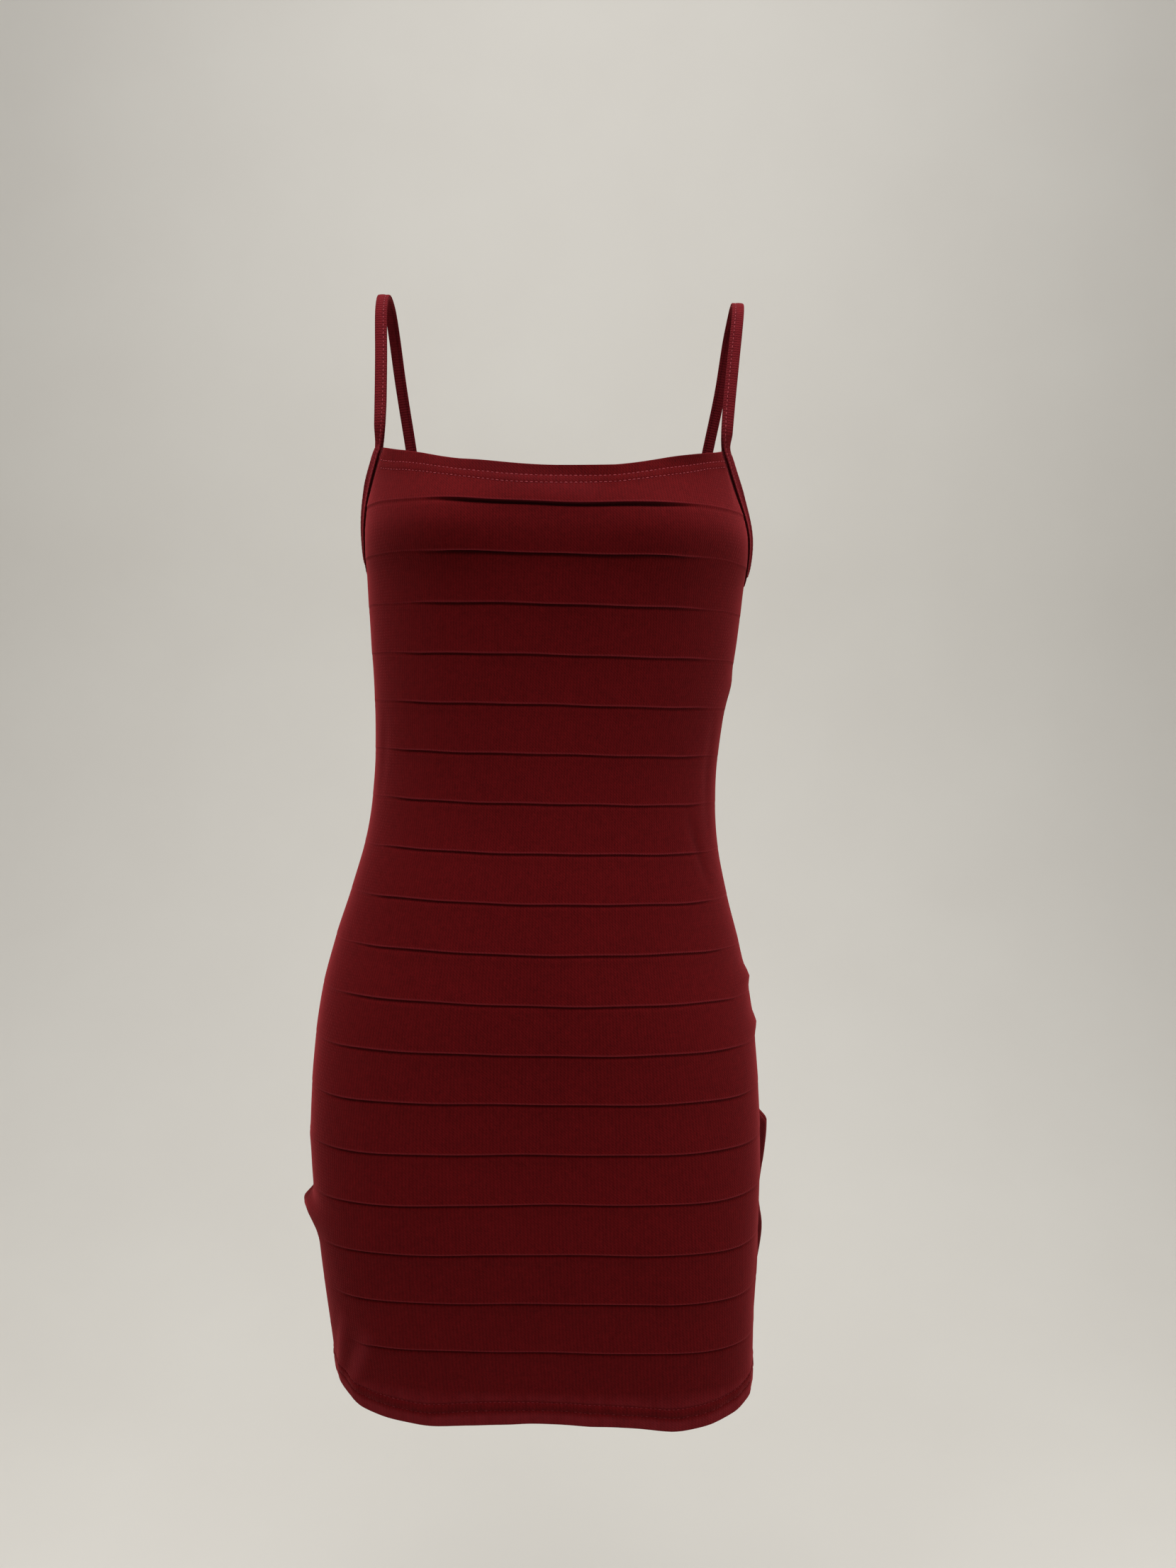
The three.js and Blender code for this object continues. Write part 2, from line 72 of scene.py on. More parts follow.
# Lapped band lines, counted down from the neck. Lift raises a line's ends at
# the seams. Groove is how deep the gap under each lip cuts, gap how tall it is,
# shade how dark the gap is painted, reach how far round, and melts the s where
# the lip dies out towards the right side seam.
bandCount = 18
bands = table(
    "line z tilt bow lift step groove gap shade reach melts",
    (0, -160.3, 0.2, 9.5, -4, 1.9, 1.1, 2.2, 1, 0.26, 1.2),
    (1, -192.2, 0.3, 4.5, -2, 1.3, 0.9, 1.9, 0.95, 0.32, 1.2),
    (2, -224.3, 0.2, 2, 0, 0.9, 0.65, 1.9, 0.72, 0.36, 1.2),
    (3, -257.3, 0.15, 1.4, 0, 0.87, 0.5, 1.9, 0.55, 0.44, 1.2),
    (5, -323.3, 0, 0.2, 0, 0.8, 0.45, 1.9, 0.5, 0.52, 1.2),
    (10, -489.5, 0.6, -2.4, 0, 0.8, 0.45, 1.9, 0.5, 0.52, 1.2),
    (12, -555.1, 3, -6, 3, 0.9, 0.45, 1.9, 0.5, 0.52, 1.2),
    (14, -622.6, 4.8, -9, 7, 0.9, 0.42, 1.8, 0.46, 0.5, 0.66),
    (17, -724.4, 1.2, -9.5, 9, 0.9, 0.42, 1.8, 0.44, 0.46, 0.46),
    (18, -759.5, 0, -3, 3, 0.9, 0.42, 1.8, 0.42, 0.46, 0.46),
)

# Panel edges against s, the share of the quarter turn from centre front or
# centre back (0) to the side seam (1).
armholes = {
    "front": table("s z", (0.63, -107.5), (0.665, -112.6), (0.715, -126), (0.765, -139),
                   (0.81, -154), (0.87, -174), (0.93, -188), (1, -194)),
    "back": table("s z", (0.5, -143), (0.53, -148), (0.62, -159), (0.72, -173),
                  (0.82, -185), (0.91, -192), (1, -194)),
}
hems = {
    "front": table("s z", (-1, -766), (-0.68, -767.5), (-0.59, -772.2), (-0.52, -777.3),
                   (-0.4, -779.8), (-0.3, -780.7), (-0.2, -778.2), (-0.04, -775.9),
                   (0.12, -776.8), (0.24, -778.1), (0.36, -781.8), (0.45, -780.7),
                   (0.56, -777.6), (0.68, -773.8), (0.82, -770), (1, -767)),
    "back": table("s z", (-1, -766), (-0.5, -769), (0, -770), (0.5, -769.5), (1, -767)),
}
necks = {
    "front": {"centre": -135.9, "rise": 47.6, "power": 1.75, "tilt": 2.7, "corner": 0.665},
    "back": {"centre": -154, "rise": 20, "power": 2, "tilt": 0, "corner": 0.53},
}
# The stretched front edge runs a little fuller towards its corners.
neckTrim = table(
    "s up", (-0.665, 0), (-0.6, 1.2), (-0.5, 2.2), (-0.42, 2.1), (-0.35, 1.4), (-0.28, 0.7),
    (-0.15, 0.4), (0, 0.3), (0.2, -0.2), (0.28, 0.6), (0.36, 1.4), (0.46, 1.7), (0.54, 2), (0.61, 1),
    (0.665, 0),
)

# Soft folds that swell the cloth at a side seam; at is their place round the
# side, below 1 on the front panel and above 1 on the back. One with an onset
# only starts there, in the shade behind the edge of the front.
folds = table(
    "side at z above below out reach onset",
    (-1, 0.9, -651, 7.5, 13, 11, 0.19, 0),
    (-1, 0.92, -600, 6, 7, 1.2, 0.15, 0),
    (1, 1.05, -592, 6, 40, 8, 0.14, 0.925),
    (1, 0.98, -667, 16, 30, 5, 0.15, 0.9),
    (1, 0.94, -482, 5, 5, 2.4, 0.15, 0),
    (1, 0.94, -515, 5, 6, 2.2, 0.15, 0),
    (1, 0.96, -272, 10, 12, 1.8, 0.15, 0),
)

cloth = {
    "wall": 1.3,
    "sink": 1.4,  # the inner face is this far inside the form
    "frameShare": 0.995,  # surface directions are taken just inside the seam
    "seamLap": 0.12,  # both panels reach this far past the seam
    "seamShares": (0.912, 0.922, 0.93, 0.938, 0.946, 0.954, 0.963, 0.972, 0.98, 0.987,
                   0.993, 0.997, 1),
    "seamDip": 0.9,  # the seam pulls the cloth in
    "seamReach": 0.018,
    "seamPinch": {"depth": 2.2, "z": -625, "height": 55},  # more so under the left fold
    "bustLobe": {"depth": 4.5, "x": 76, "z": -174, "width": 34, "height": 30},
    "edgeRound": 0.9,  # folded edges are round
    "fade": (5.5, 4.5),  # relief grows from this far off the armholes, over so much
    "arc": 215,  # millimetres of cloth for each unit of s
    "ribFade": (0.42, 0.4),  # ribs blur from this s, over so much
    "ribLoss": 0.9,
    # the gap beside each binding is painted in shade between these distances
    "ditch": (4.4, 8.4),  # the gap beside each binding, from the raw edge
    "neckRows": (7.2, 11.8),  # twin-needle rows below the neck edge
    "hemRows": (9.8, 15.4),  # and above the hem edge
    "edgeDrops": (0, 0.12, 0.35, 0.7, 1.2, 2.4, 4.4, 6.2, 6.8, 7.2, 7.6, 8.3, 9.8,
                  10.9, 11.4, 11.8, 12.2, 12.8, 14, 16),
    "armDrops": (0, 0.12, 0.35, 0.7, 1.2, 2.2, 3.4, 4.2, 4.7, 5.1, 5.5, 5.9, 6.3,
                 6.7, 7.1, 7.5, 7.9, 8.3, 8.8, 9.6),
    "hemRises": (18.6, 17.2, 16.4, 15.8, 15.4, 15, 14.2, 12.4, 10.8, 10.2, 9.8, 9.4,
                 8.6, 6, 3.4, 1.6, 0.8, 0.35, 0.12, 0),
    "lipRows": (2.6, 1.3, 0.8, 0.5, 0.25, 0.08),
    "grooveRows": (0, 0.15, 0.3, 0.8, 1.4, 1.9, 2.5, 3.2, 4.2, 5.6, 9, 13, 17, 21,
                   25, 28.5),
    "innerDrops": (0, 0.12, 0.35, 0.9, 4, 7.5, 12.5, 13.6, 14.4, 16),
    "innerArmDrops": (0, 0.12, 0.35, 0.9, 3, 4.6, 6, 7.2, 8.4, 9.6),
    "innerRises": (19.5, 16.6, 15.8, 15, 12, 8, 4, 1.2, 0.35, 0),
    "innerRows": (2.4, 1.2, 0, -1.2, -2.4, -9, -17, -25),
}
clothMiddle = cloth["wall"] / 2 - cloth["sink"]


def cubicAt(rows, axis, column, at):
    keys, values = rows[axis], rows[column]
    if keys[-1] < keys[0]:
        keys, values = keys[::-1], values[::-1]
    slopes = np.empty(len(keys))
    slopes[1:-1] = (values[2:] - values[:-2]) / (keys[2:] - keys[:-2])
    slopes[0] = (values[1] - values[0]) / (keys[1] - keys[0])
    slopes[-1] = (values[-1] - values[-2]) / (keys[-1] - keys[-2])
    i = np.clip(np.searchsorted(keys, at, side="right") - 1, 0, len(keys) - 2)
    span = keys[i + 1] - keys[i]
    t = np.clip((at - keys[i]) / span, 0, 1)
    p, q = values[i], values[i + 1]
    a, b = slopes[i] * span, slopes[i + 1] * span
    return p + t * (a + t * (3 * (q - p) - 2 * a - b + t * (2 * (p - q) + a + b)))


def smooth(t):
    t = np.clip(t, 0, 1)
    return t * t * (3 - 2 * t)


def ramp(x, start, over):
    return smooth((x - start) / over)


def bump(x, width):
    return np.exp(-(x / width) ** 2)


def unit(vectors):
    return vectors / np.linalg.norm(vectors, axis=-1, keepdims=True)


def dot(p, q):
    return (p * q).sum(axis=-1)


def squareTo(vectors, along):  # what is left of each vector square to a direction
    return unit(vectors - along * dot(vectors, along)[..., None])


def lineNumber(v):
    return np.interp(-v, -bands["z"], bands["line"])


def lineValue(k, column):
    return np.interp(k, bands["line"], bands[column])


def heightOf(s, v):
    k = lineNumber(v)
    turn = np.sin(s * math.pi / 2)
    lift = lineValue(k, "lift") * turn ** 8
    return v + lineValue(k, "tilt") * turn + lineValue(k, "bow") * turn ** 2 + lift


def nominalOf(s, z):
    v = np.array(z, float)
    for _ in range(6):
        v = v + z - heightOf(s, v)
    return v


# Sewn lines in stretch cloth waver: how tall, how fast round and down, and start.
wavers = ((0.22, 9, 0.21, 0), (0.16, 23, -0.13, 1))


def waver(s, v):
    return sum(tall * np.sin(pace * s + down * v + start) for tall, pace, down, start in wavers)


def roundTo(side, s):
    return np.abs(s) if side == "front" else 2 - np.abs(s)


def foldOut(side, s, z, shadows=False):
    around = roundTo(side, s)
    out = np.zeros(np.broadcast(s, z).shape)
    for turn, at, middle, above, below, tall, reach, onset in zip(*folds.values()):
        down = (z - middle) / np.where(z > middle, above, below)
        swell = tall * np.exp(-down ** 2 - ((around - at) / reach) ** 2)
        if onset:
            swell = swell * ramp(around, onset, foldShadow["over"])
        elif shadows:
            continue
        out = out + np.where(turn * s >= 0, swell, 0)
    return out


# Behind an onset the fold is painted in shade, up to the seam and a little past it.
foldShadow = {"full": 1.2, "shade": 0.45, "rim": 0.9, "rimWidth": 0.8, "rimShade": 0.3,
              "past": 0.99, "over": 0.045}


def foldShade(side, s, z):
    around = roundTo(side, s)
    look = foldShadow
    behind = foldOut(side, s, z, shadows=True)
    rim = look["rimShade"] * bump(behind - look["rim"], look["rimWidth"])
    shade = look["shade"] * smooth(behind / look["full"]) + rim
    return shade * (1 - ramp(around, look["past"], look["over"]))


def formAt(side, s, z):
    front = side == "front"
    square = cubicAt(sections, "z", "squareFront" if front else "squareBack", z)
    sine = np.sin(s * math.pi / 2)
    cosine = np.maximum(np.cos(s * math.pi / 2), 1e-9)
    k = (np.abs(sine) ** square + cosine ** square) ** (-1 / square)
    half = cubicAt(sections, "z", "half", z) + foldOut(side, s, z)
    x = cubicAt(sections, "z", "shift", z) + half * k * sine
    depth = cubicAt(sections, "z", side, z) * k * cosine
    y = cubicAt(sections, "z", "centre", z) + (-depth if front else depth)
    if front:
        lobe = cloth["bustLobe"]
        across = bump(np.abs(x) - lobe["x"], lobe["width"])
        y = y - lobe["depth"] * bump(z - lobe["z"], lobe["height"]) * across
    return np.stack(np.broadcast_arrays(x, y, z), axis=-1)


def clothFrame(side, s, z):
    s = np.clip(s, -cloth["frameShare"], cloth["frameShare"])
    ds, dz = 0.004, 0.5
    across = (formAt(side, s + ds, z) - formAt(side, s - ds, z)) / (2 * ds)
    up = (formAt(side, s, z + dz) - formAt(side, s, z - dz)) / (2 * dz)
    normal = unit(np.cross(across, up))
    return across, up, normal if side == "front" else -normal


def neckHeight(side, s):
    neck = necks[side]
    height = neck["centre"] + neck["rise"] * np.abs(s) ** neck["power"] + neck["tilt"] * s
    return height + np.interp(s, neckTrim["s"], neckTrim["up"]) * (side == "front")


def topHeight(side, s):
    armhole = cubicAt(armholes[side], "s", "z", np.abs(s))
    return np.where(np.abs(s) <= necks[side]["corner"], neckHeight(side, s), armhole)


def hemHeight(side, s):
    return cubicAt(hems[side], "s", "z", s)


armholeEdge = {}
for side in ("front", "back"):
    edgeShares = np.linspace(necks[side]["corner"], 1, 70)
    edgeShares = np.concatenate([edgeShares, -edgeShares])
    armholeEdge[side] = formAt(side, edgeShares, topHeight(side, edgeShares))


farAway = 30.0  # beyond this the armhole edge has no effect


def edgeAway(side, points):
    away = np.full(len(points), farAway)
    near = points[:, 2] > armholes["front"]["z"][-1] - farAway
    gaps = points[near][:, None, :] - armholeEdge[side][None, :, :]
    away[near] = np.minimum(np.linalg.norm(gaps, axis=-1).min(axis=1), farAway)
    return away


# Lips of the bands. Pairs give a soft lip's value and what a crisp one adds, but
# climb and shade give where in the gap they start and over how much of it.
lips = {
    "middle": 0.03,  # the s round which a lip is crisp
    "crispOver": 0.2,
    "meltOver": 0.09,
    "height": (0.35, 0.65),
    "cut": (0.2, 0.5),
    "fall": (1.6, -1.3),
    "gap": (0.7, 0.3),
    "start": 0.08,  # how full a band is under a gap
    "swell": 1.25,
    "swellFrom": 9,  # this far below the lip above
    "round": 0.7,
    "neckSwell": 14,  # from this far above the top lip
    "climb": (0.55, 0.9),
    "shade": (0.5, 0.7),
    "ridge": (0.1, 2.2, 0.9),  # small ridge under the gap: out, below it, width
    "seamLoss": 0.55,  # relief pulled flat at the seams
    # how far above a lip its painted highlight reaches
    "sheen": 1.4,  # height of the lip that shows a bloom
}


def crispness(name, crisp):
    soft, added = lips[name]
    return soft + added * crisp


# How crisp a lip is round the side, and how much of it is left.
def bandEnds(s, k):
    calm = 1 - ramp(np.abs(s - lips["middle"]), lineValue(k, "reach"), lips["crispOver"])
    left = 1 - ramp(-s, lineValue(k, "melts"), lips["meltOver"])
    return calm * left, crispness("height", calm) * left


# The lapped bands: each swells down to a round lip over a gap in painted shade, the lip with a painted
# highlight.
def bandRelief(s, v):
    k = np.clip(np.floor(lineNumber(v) + 1e-6), 0, bandCount - 1)
    top, following = lineValue(k, "z"), lineValue(k + 1, "z")
    below, left = top - v, v - following
    above = v > top
    calm, hold = bandEnds(s, k)
    calmNext, holdNext = bandEnds(s, k + 1)
    step = lineValue(k, "step") * hold
    lip = lineValue(k + 1, "step") * holdNext
    lip = np.where(k == bandCount - 1, 0, lip)
    grow = np.clip((below - lips["swellFrom"]) / (top - following - lips["swellFrom"]), 0, 1)
    body = lip * (lips["start"] + (1 - lips["start"]) * grow ** lips["swell"])
    body = np.where(above, step * smooth(1 - (v - top) / lips["neckSwell"]), body)
    left = np.where(above, v - top, left)
    rounding = lips["round"]
    cut = rounding - np.sqrt(rounding ** 2 - np.clip(rounding - left, 0, rounding) ** 2)
    crisp = np.where(above, calm, calmNext)
    body = body - crispness("cut", crisp) * cut * ((lip > 0) | above)
    uneven = 1 + 0.08 * np.sin(7 * s + 2.3 * k) * np.sin(17 * s - k)
    depth = lineValue(k, "groove") * calm * uneven
    gap = lineValue(k, "gap") * crispness("gap", calm)
    lipEnd = np.maximum(step - crispness("cut", calm) * rounding, 0)
    edge = crispness("fall", calm)
    fall = lipEnd - (depth + lipEnd) * smooth(below / edge)
    begins, over = lips["climb"]
    climb = ramp(below, begins * gap, over * gap)
    out = np.where(below < edge, fall, -depth + (body + depth) * climb)
    ridge, place, width = lips["ridge"]
    out = out + ridge * bump(below - gap - place, width) * ~above
    out = np.where(above, body, out) * (1 - lips["seamLoss"] * s ** 4)
    # painted shade in the gap under each lip, and a painted highlight along each lip's top
    begins, over = lips["shade"]
    shade = 1 - ramp(below, begins * gap, over * gap)
    shade = shade * lineValue(k, "shade") * calm * uneven
    sheen = smooth(1 - left / lips["sheen"]) * np.where(above, hold, holdNext)
    return out, np.where(above, 0, np.minimum(shade, 1)), sheen * ((lip > 0) | above)


# Faces of a panel. Pairs give where a change starts and over how much of s or of
# the way from the raw edge; turned cloth has its extra thickness, height and end.
panelFace = {
    "seamTurn": (0.975, 0.022),
    "ditchIn": (4, 1.6),
    "ditchOut": (6.6, 2.6),
    "ditchDepth": 0.6,
    # crease troughs get painted shade and crease ridges a painted highlight
    "creaseShade": (0.35, 0.4),  # for each millimetre, and at most
    "creaseHighlight": (0.5, 0.7),
    "neckTurned": (0.6, 14, 0.8),
    "hemTurned": (0.7, 16.2, 0.8),
    "tuckRidge": (0.8, 1.3),  # height and width, inside behind each lip
}


def faceOf(side, s, v, drop, rise, outer):
    face = panelFace
    z = heightOf(s, v) + waver(s, v)
    _, up, normal = clothFrame(side, s, z)
    points = formAt(side, s, z)
    # at the seam both panels share one direction, so that it stays closed
    seam = unit(np.cross([0, 1, 0], up)) * np.where(s < 0, -1, 1)[:, None]
    atSeam = ramp(np.abs(s), *face["seamTurn"])[:, None]
    normal = unit(normal * (1 - atSeam) + seam * atSeam)
    lap = cloth["seamLap"] * (np.abs(s) > 0.9999)
    points[:, 1] += lap if side == "front" else -lap
    away = edgeAway(side, points)
    fade = ramp(away, *cloth["fade"])
    ditch = ramp(away, *face["ditchIn"]) * (1 - ramp(away, *face["ditchOut"]))
    neck = np.abs(s) < necks[side]["corner"]
    if outer:
        relief, shade, sheen = bandRelief(s, v)
        detail, dark, light = edgeDetail(side, s, drop, rise, neck)
        crease = creaseOut(side, s, z)
        lift = cloth["wall"] - cloth["sink"] + (relief + detail + crease) * fade
        lift = lift - seamDip(side, s, z) - face["ditchDepth"] * ditch
        # painted shade from crease troughs and from the fold behind the front edge, painted highlight
        # on crease ridges
        share, most = face["creaseShade"]
        dark = np.maximum(dark, np.clip(-share * crease, 0, most))
        dark = np.maximum(dark, foldShade(side, s, z))
        shade = np.maximum(shade, dark) * fade
        share, most = face["creaseHighlight"]
        light = np.maximum(light, np.clip(share * crease, 0, most))
        sheen = np.maximum(sheen, light) * fade
    else:
        line = lineValue(np.clip(np.round(lineNumber(v)), 0, bandCount - 1), "z")
        thick, height, end = face["neckTurned"]
        turned = np.where(neck, thick * smooth((height - drop) / end), 0)
        thick, height, end = face["hemTurned"]
        turned = turned + thick * smooth((height - rise) / end)
        ridge, width = face["tuckRidge"]
        lift = -cloth["sink"] - (turned + ridge * bump(v - line, width)) * fade
        shade = np.zeros(len(s))
        sheen = shade
    edge = np.minimum(drop, rise) / cloth["edgeRound"]
    full = np.sqrt(1 - (1 - np.clip(edge, 0.01, 1)) ** 2)
    lift = clothMiddle + (lift - clothMiddle) * full
    return points + normal * lift[:, None], normal, (shade, sheen, away)


# The front neck edge stands off a little, more at some places than at others.
neckFlare = table(
    "s out", (-0.64, 0.4), (-0.56, 0.9), (-0.48, 0.3), (-0.4, 0.2), (-0.32, 0.8), (-0.22, 2.1),
    (-0.05, 2.3), (0.15, 1.9), (0.28, 0.9), (0.34, 1), (0.41, 2.4), (0.48, 2.8), (0.54, 1.4),
    (0.6, 0),
)


def neckSpread(side, s):  # the sewn rows drop away from the edge at one corner
    return 1 + neckEdge["spread"] * ramp(-s, 0.3, 0.3) * (side == "front")


# Sewn edges: double cloth, sunk rows and small puckers, by how far they stand
# out; shades are shares of painted shade, highlights shares of painted highlight.
neckEdge = {"double": 0.3, "row": 0.16, "pucker": 0.1, "backFlare": 0.8, "rowShade": 0.08,
            "flareShade": 0.1, "leftFlareShade": 0.05, "spread": 0.24}
hemEdge = {"double": 0.5, "row": 0.34, "welt": 0.2, "ledge": 0.3, "pucker": 0.13, "swing": 0.5,
           "crimp": 0.16, "rowShade": 0.18, "betweenShade": (0.06, 0.18), "highlight": 0.6,
           "ledgeHighlight": 0.5}

# Waves along an edge: radians a millimetre, start, how much and how fast the wave
# bends, and the pace and start of its beat.
edgeWaves = {
    "neckPucker": (1.05, 0, 0.6, 0.21, 0, 0),
    "hemPucker": (0.93, 0, 1.1, 0.13, 0, 0),
    "swing": (0.19, 2, 0, 0, 0.071, -math.pi / 2),
    "crimp": (0.47, 0, 2, 0.083, 0, 0),
    # this wave makes the hem's painted shade and painted highlight patchy
    "paintedLightWave": (0.61, 0, 1.7, 0.17, 0.29, 1 - math.pi / 2),
}


def edgeWave(name, arc):
    pace, start, bend, bendPace, beat, beatStart = edgeWaves[name]
    wave = np.sin(pace * arc + start + bend * np.sin(bendPace * arc))
    return wave * np.cos(beat * arc + beatStart)


def onRows(at, rows, width):
    return sum(bump(at - row, width) for row in cloth[rows])


def edgeDetail(side, s, drop, rise, neck):
    arc = s * cloth["arc"]
    drop = drop / neckSpread(side, s)
    first, second = cloth["neckRows"]
    double = neckEdge["double"] * smooth((second + 0.8 - drop) / 1.6)
    rows = neckEdge["row"] * onRows(drop, "neckRows", 0.6)
    pucker = neckEdge["pucker"] * edgeWave("neckPucker", arc) * bump(drop - 8, 5.5)
    flare = neckEdge["backFlare"]
    if side == "front":
        flare = np.interp(s, neckFlare["s"], neckFlare["out"])
    flare = flare * np.clip((first - drop) / first, 0, 1) ** 1.2
    # painted shade on the neck's sewn rows and on its flared strip
    shade = neckEdge["flareShade"] + neckEdge["leftFlareShade"] * (s > 0.3)
    dark = neckEdge["rowShade"] * onRows(drop, "neckRows", 0.5)
    dark = dark + shade * flare * smooth((first - drop) / 2)
    out = np.where(neck, double - rows + pucker + flare, 0)
    dark = np.where(neck, dark, 0)
    lower, upper = cloth["hemRows"]
    out = out + hemEdge["double"] * smooth((upper + 0.5 - rise) / 0.9)
    out = out - hemEdge["row"] * onRows(rise, "hemRows", 0.6)
    out = out + hemEdge["welt"] * bump(rise - (lower + upper) / 2, 1.3)
    out = out + hemEdge["ledge"] * bump(rise - upper - 2, 1.2)
    out = out + hemEdge["pucker"] * edgeWave("hemPucker", arc) * bump(rise - 9, 8)
    out = out + hemEdge["swing"] * edgeWave("swing", arc) * bump(rise - 5, 12)
    out = out + hemEdge["crimp"] * edgeWave("crimp", arc) * bump(rise - 12, 6)
    # painted shade between and on the hem rows, painted highlight below and above them, patchy along
    # the hem
    paintedLightWave = 0.5 + 0.5 * edgeWave("paintedLightWave", arc)
    between = ramp(rise, lower - 0.8, 1.2) * smooth((upper + 0.6 - rise) / 1.2)
    least, more = hemEdge["betweenShade"]
    dark = dark + between * (least + more * paintedLightWave)
    dark = dark + hemEdge["rowShade"] * onRows(rise, "hemRows", 0.6)
    light = hemEdge["highlight"] * smooth((lower - 0.8 - rise) / 2) * (0.6 + 0.4 * paintedLightWave)
    light = light + hemEdge["ledgeHighlight"] * bump(rise - upper - 2.2, 1.6) * (1 - 0.6 * paintedLightWave)
    return out, dark, light


# Soft creases, from one end (s, z) to the other; a trough is negative.
creaseColumns = "s z toS toZ width depth"
creases = {
    "front": table(
        creaseColumns,
        (0.6, -366, 0.68, -408, 6, -0.9),
        (0.72, -300, 0.74, -372, 8, -0.6),
        (-0.68, -300, -0.72, -350, 8, -0.5),
        (-0.555, -714, -0.66, -762, 4, 1.2),
        (-0.52, -726, -0.6, -760, 3.2, -0.8),
        (-0.465, -724, -0.55, -760, 4.2, 1.1),
        (-0.43, -738, -0.5, -764, 5, -0.5),
        (0.8, -668, 0.78, -708, 6, 1),
        (0.24, -676, 0.38, -716, 6, -0.35),
        (-0.12, -478, 0.08, -496, 8, -0.35),
        (-0.9, -640, -0.76, -668, 9, -1.2),
        (-0.35, -128, 0.1, -150, 9, 0.5),
    ),
    "back": table(
        creaseColumns,
        (-0.3, -395, 0.28, -402, 10, -1.4),
        (-0.42, -424, -0.05, -432, 9, -0.8),
        (0.1, -372, 0.45, -364, 9, -0.8),
        (0.62, -640, 0.8, -612, 8, -0.9),
        (-0.66, -668, -0.84, -640, 8, -0.9),
        (-0.2, -728, -0.34, -762, 6, 0.8),
        (0.36, -732, 0.3, -764, 6, 0.7),
        (-0.5, -212, -0.62, -252, 7, -0.6),
        (0.52, -210, 0.6, -246, 7, -0.6),
    ),
}


def creaseOut(side, s, z):
    out = np.zeros(len(s))
    for startS, startZ, endS, endZ, width, depth in zip(*creases[side].values()):
        along, up = (s - startS) * cloth["arc"], z - startZ
        run, climb = (endS - startS) * cloth["arc"], endZ - startZ
        t = np.clip((along * run + up * climb) / (run ** 2 + climb ** 2), 0, 1)
        away = np.hypot(along - t * run, up - t * climb)
        out = out + depth * (0.5 + 0.5 * np.sin(math.pi * t)) * bump(away, width)
    return out


def seamDip(side, s, z):
    pinch = cloth["seamPinch"]
    deeper = pinch["depth"] * bump(z - pinch["z"], pinch["height"]) * (s > 0)
    near = smooth((np.abs(s) - 1 + cloth["seamReach"]) / cloth["seamReach"])
    return (cloth["seamDip"] + deeper) * near ** 2


def placed(name, data):
    thing = bpy.data.objects.new(name, data)
    bpy.context.scene.collection.objects.link(thing)
    return thing


def makePiece(name, points, faces, edges=()):
    mesh = bpy.data.meshes.new(name)
    mesh.from_pydata((np.asarray(points) * mm).tolist(), list(edges), faces)
    mesh.shade_smooth()
    return placed(name, mesh)


def addAttribute(mesh, name, kind, values):
    layer = mesh.attributes.new(name, kind, "POINT")
    field = "vector" if kind == "FLOAT_VECTOR" else "value"
    layer.data.foreach_set(field, np.asarray(values, float).ravel())


def addUv(mesh, name, perVertex):
    layer = mesh.uv_layers.new(name=name)
    corners = np.empty(len(mesh.loops), int)
    mesh.loops.foreach_get("vertex_index", corners)
    layer.data.foreach_set("uv", np.asarray(perVertex, float)[corners].ravel())


# How much longer a drop straight down is than one square to the armhole edge.
def edgeSlant(side, s):
    ds = 0.003
    ends = np.array([s - ds, s + ds])
    ends = formAt(side, ends, cubicAt(armholes[side], "s", "z", np.abs(ends)))
    run = (ends[1] - ends[0]) / np.linalg.norm(ends[1] - ends[0])
    up = clothFrame(side, np.array([s]), topHeight(side, np.array([s])))[1][0]
    return min(1 / np.linalg.norm(np.cross(run, up / np.linalg.norm(up))), 1.7)


def panelShares(side):
    corner = necks[side]["corner"]
    half = np.concatenate([np.linspace(0, corner, 46), np.linspace(corner, 0.9, 17)[1:],
                           cloth["seamShares"]])
    return np.concatenate([-half[:0:-1], half])


def columnRows(side, s, drops, armDrops, lineDrops, rises):
    top = nominalOf(s, topHeight(side, s))
    hem = nominalOf(s, hemHeight(side, s))
    past = smooth((abs(s) - necks[side]["corner"]) / 0.03)
    drops = np.array(drops) * neckSpread(side, s)
    drops = drops * (1 - past) + np.array(armDrops) * edgeSlant(side, s) * past
    rises = np.array(rises)
    lines = lineValue(np.arange(bandCount), "z")[:, None] - np.array(lineDrops)[None, :]
    lines = np.sort(lines.ravel())[::-1]
    lines = lines[(lines < top - drops[-1] - 0.5) & (lines > hem + rises[0] + 0.5)]
    return np.concatenate([top - drops, lines, hem + rises]), top, hem


# Joins two columns of points: row by row at both ends, by height between.
def joinColumns(a, b, heightsA, heightsB, head, tail, flip, faces):
    def add(*corners):
        faces.append(corners[::-1] if flip else corners)
    endA, endB = len(a) - tail, len(b) - tail
    for i in range(head - 1):
        add(a[i], a[i + 1], b[i + 1], b[i])
    i = j = head - 1
    while i < endA or j < endB:
        nextA = heightsA[i + 1] if i < endA else -1e9
        nextB = heightsB[j + 1] if j < endB else -1e9
        if i < endA and j < endB and abs(nextA - nextB) < 1e-6:
            add(a[i], a[i + 1], b[j + 1], b[j])
            i, j = i + 1, j + 1
        elif nextA >= nextB:
            add(a[i], a[i + 1], b[j])
            i += 1
        else:
            add(a[i], b[j + 1], b[j])
            j += 1
    for n in range(tail - 1):
        add(a[endA + n], a[endA + n + 1], b[endB + n + 1], b[endB + n])


# Marks on the cloth: painted shade, painted highlight (the lip mark, also on crease ridges and the
# hem), distance from the armhole edge, and how ribbed it is.
def markCloth(piece, uv, *marks):
    for key, values in zip(("paintedShade", "lip", "away", "ribbed"), marks):
        addAttribute(piece.data, key, "FLOAT", values)
    addUv(piece.data, "wale", uv)


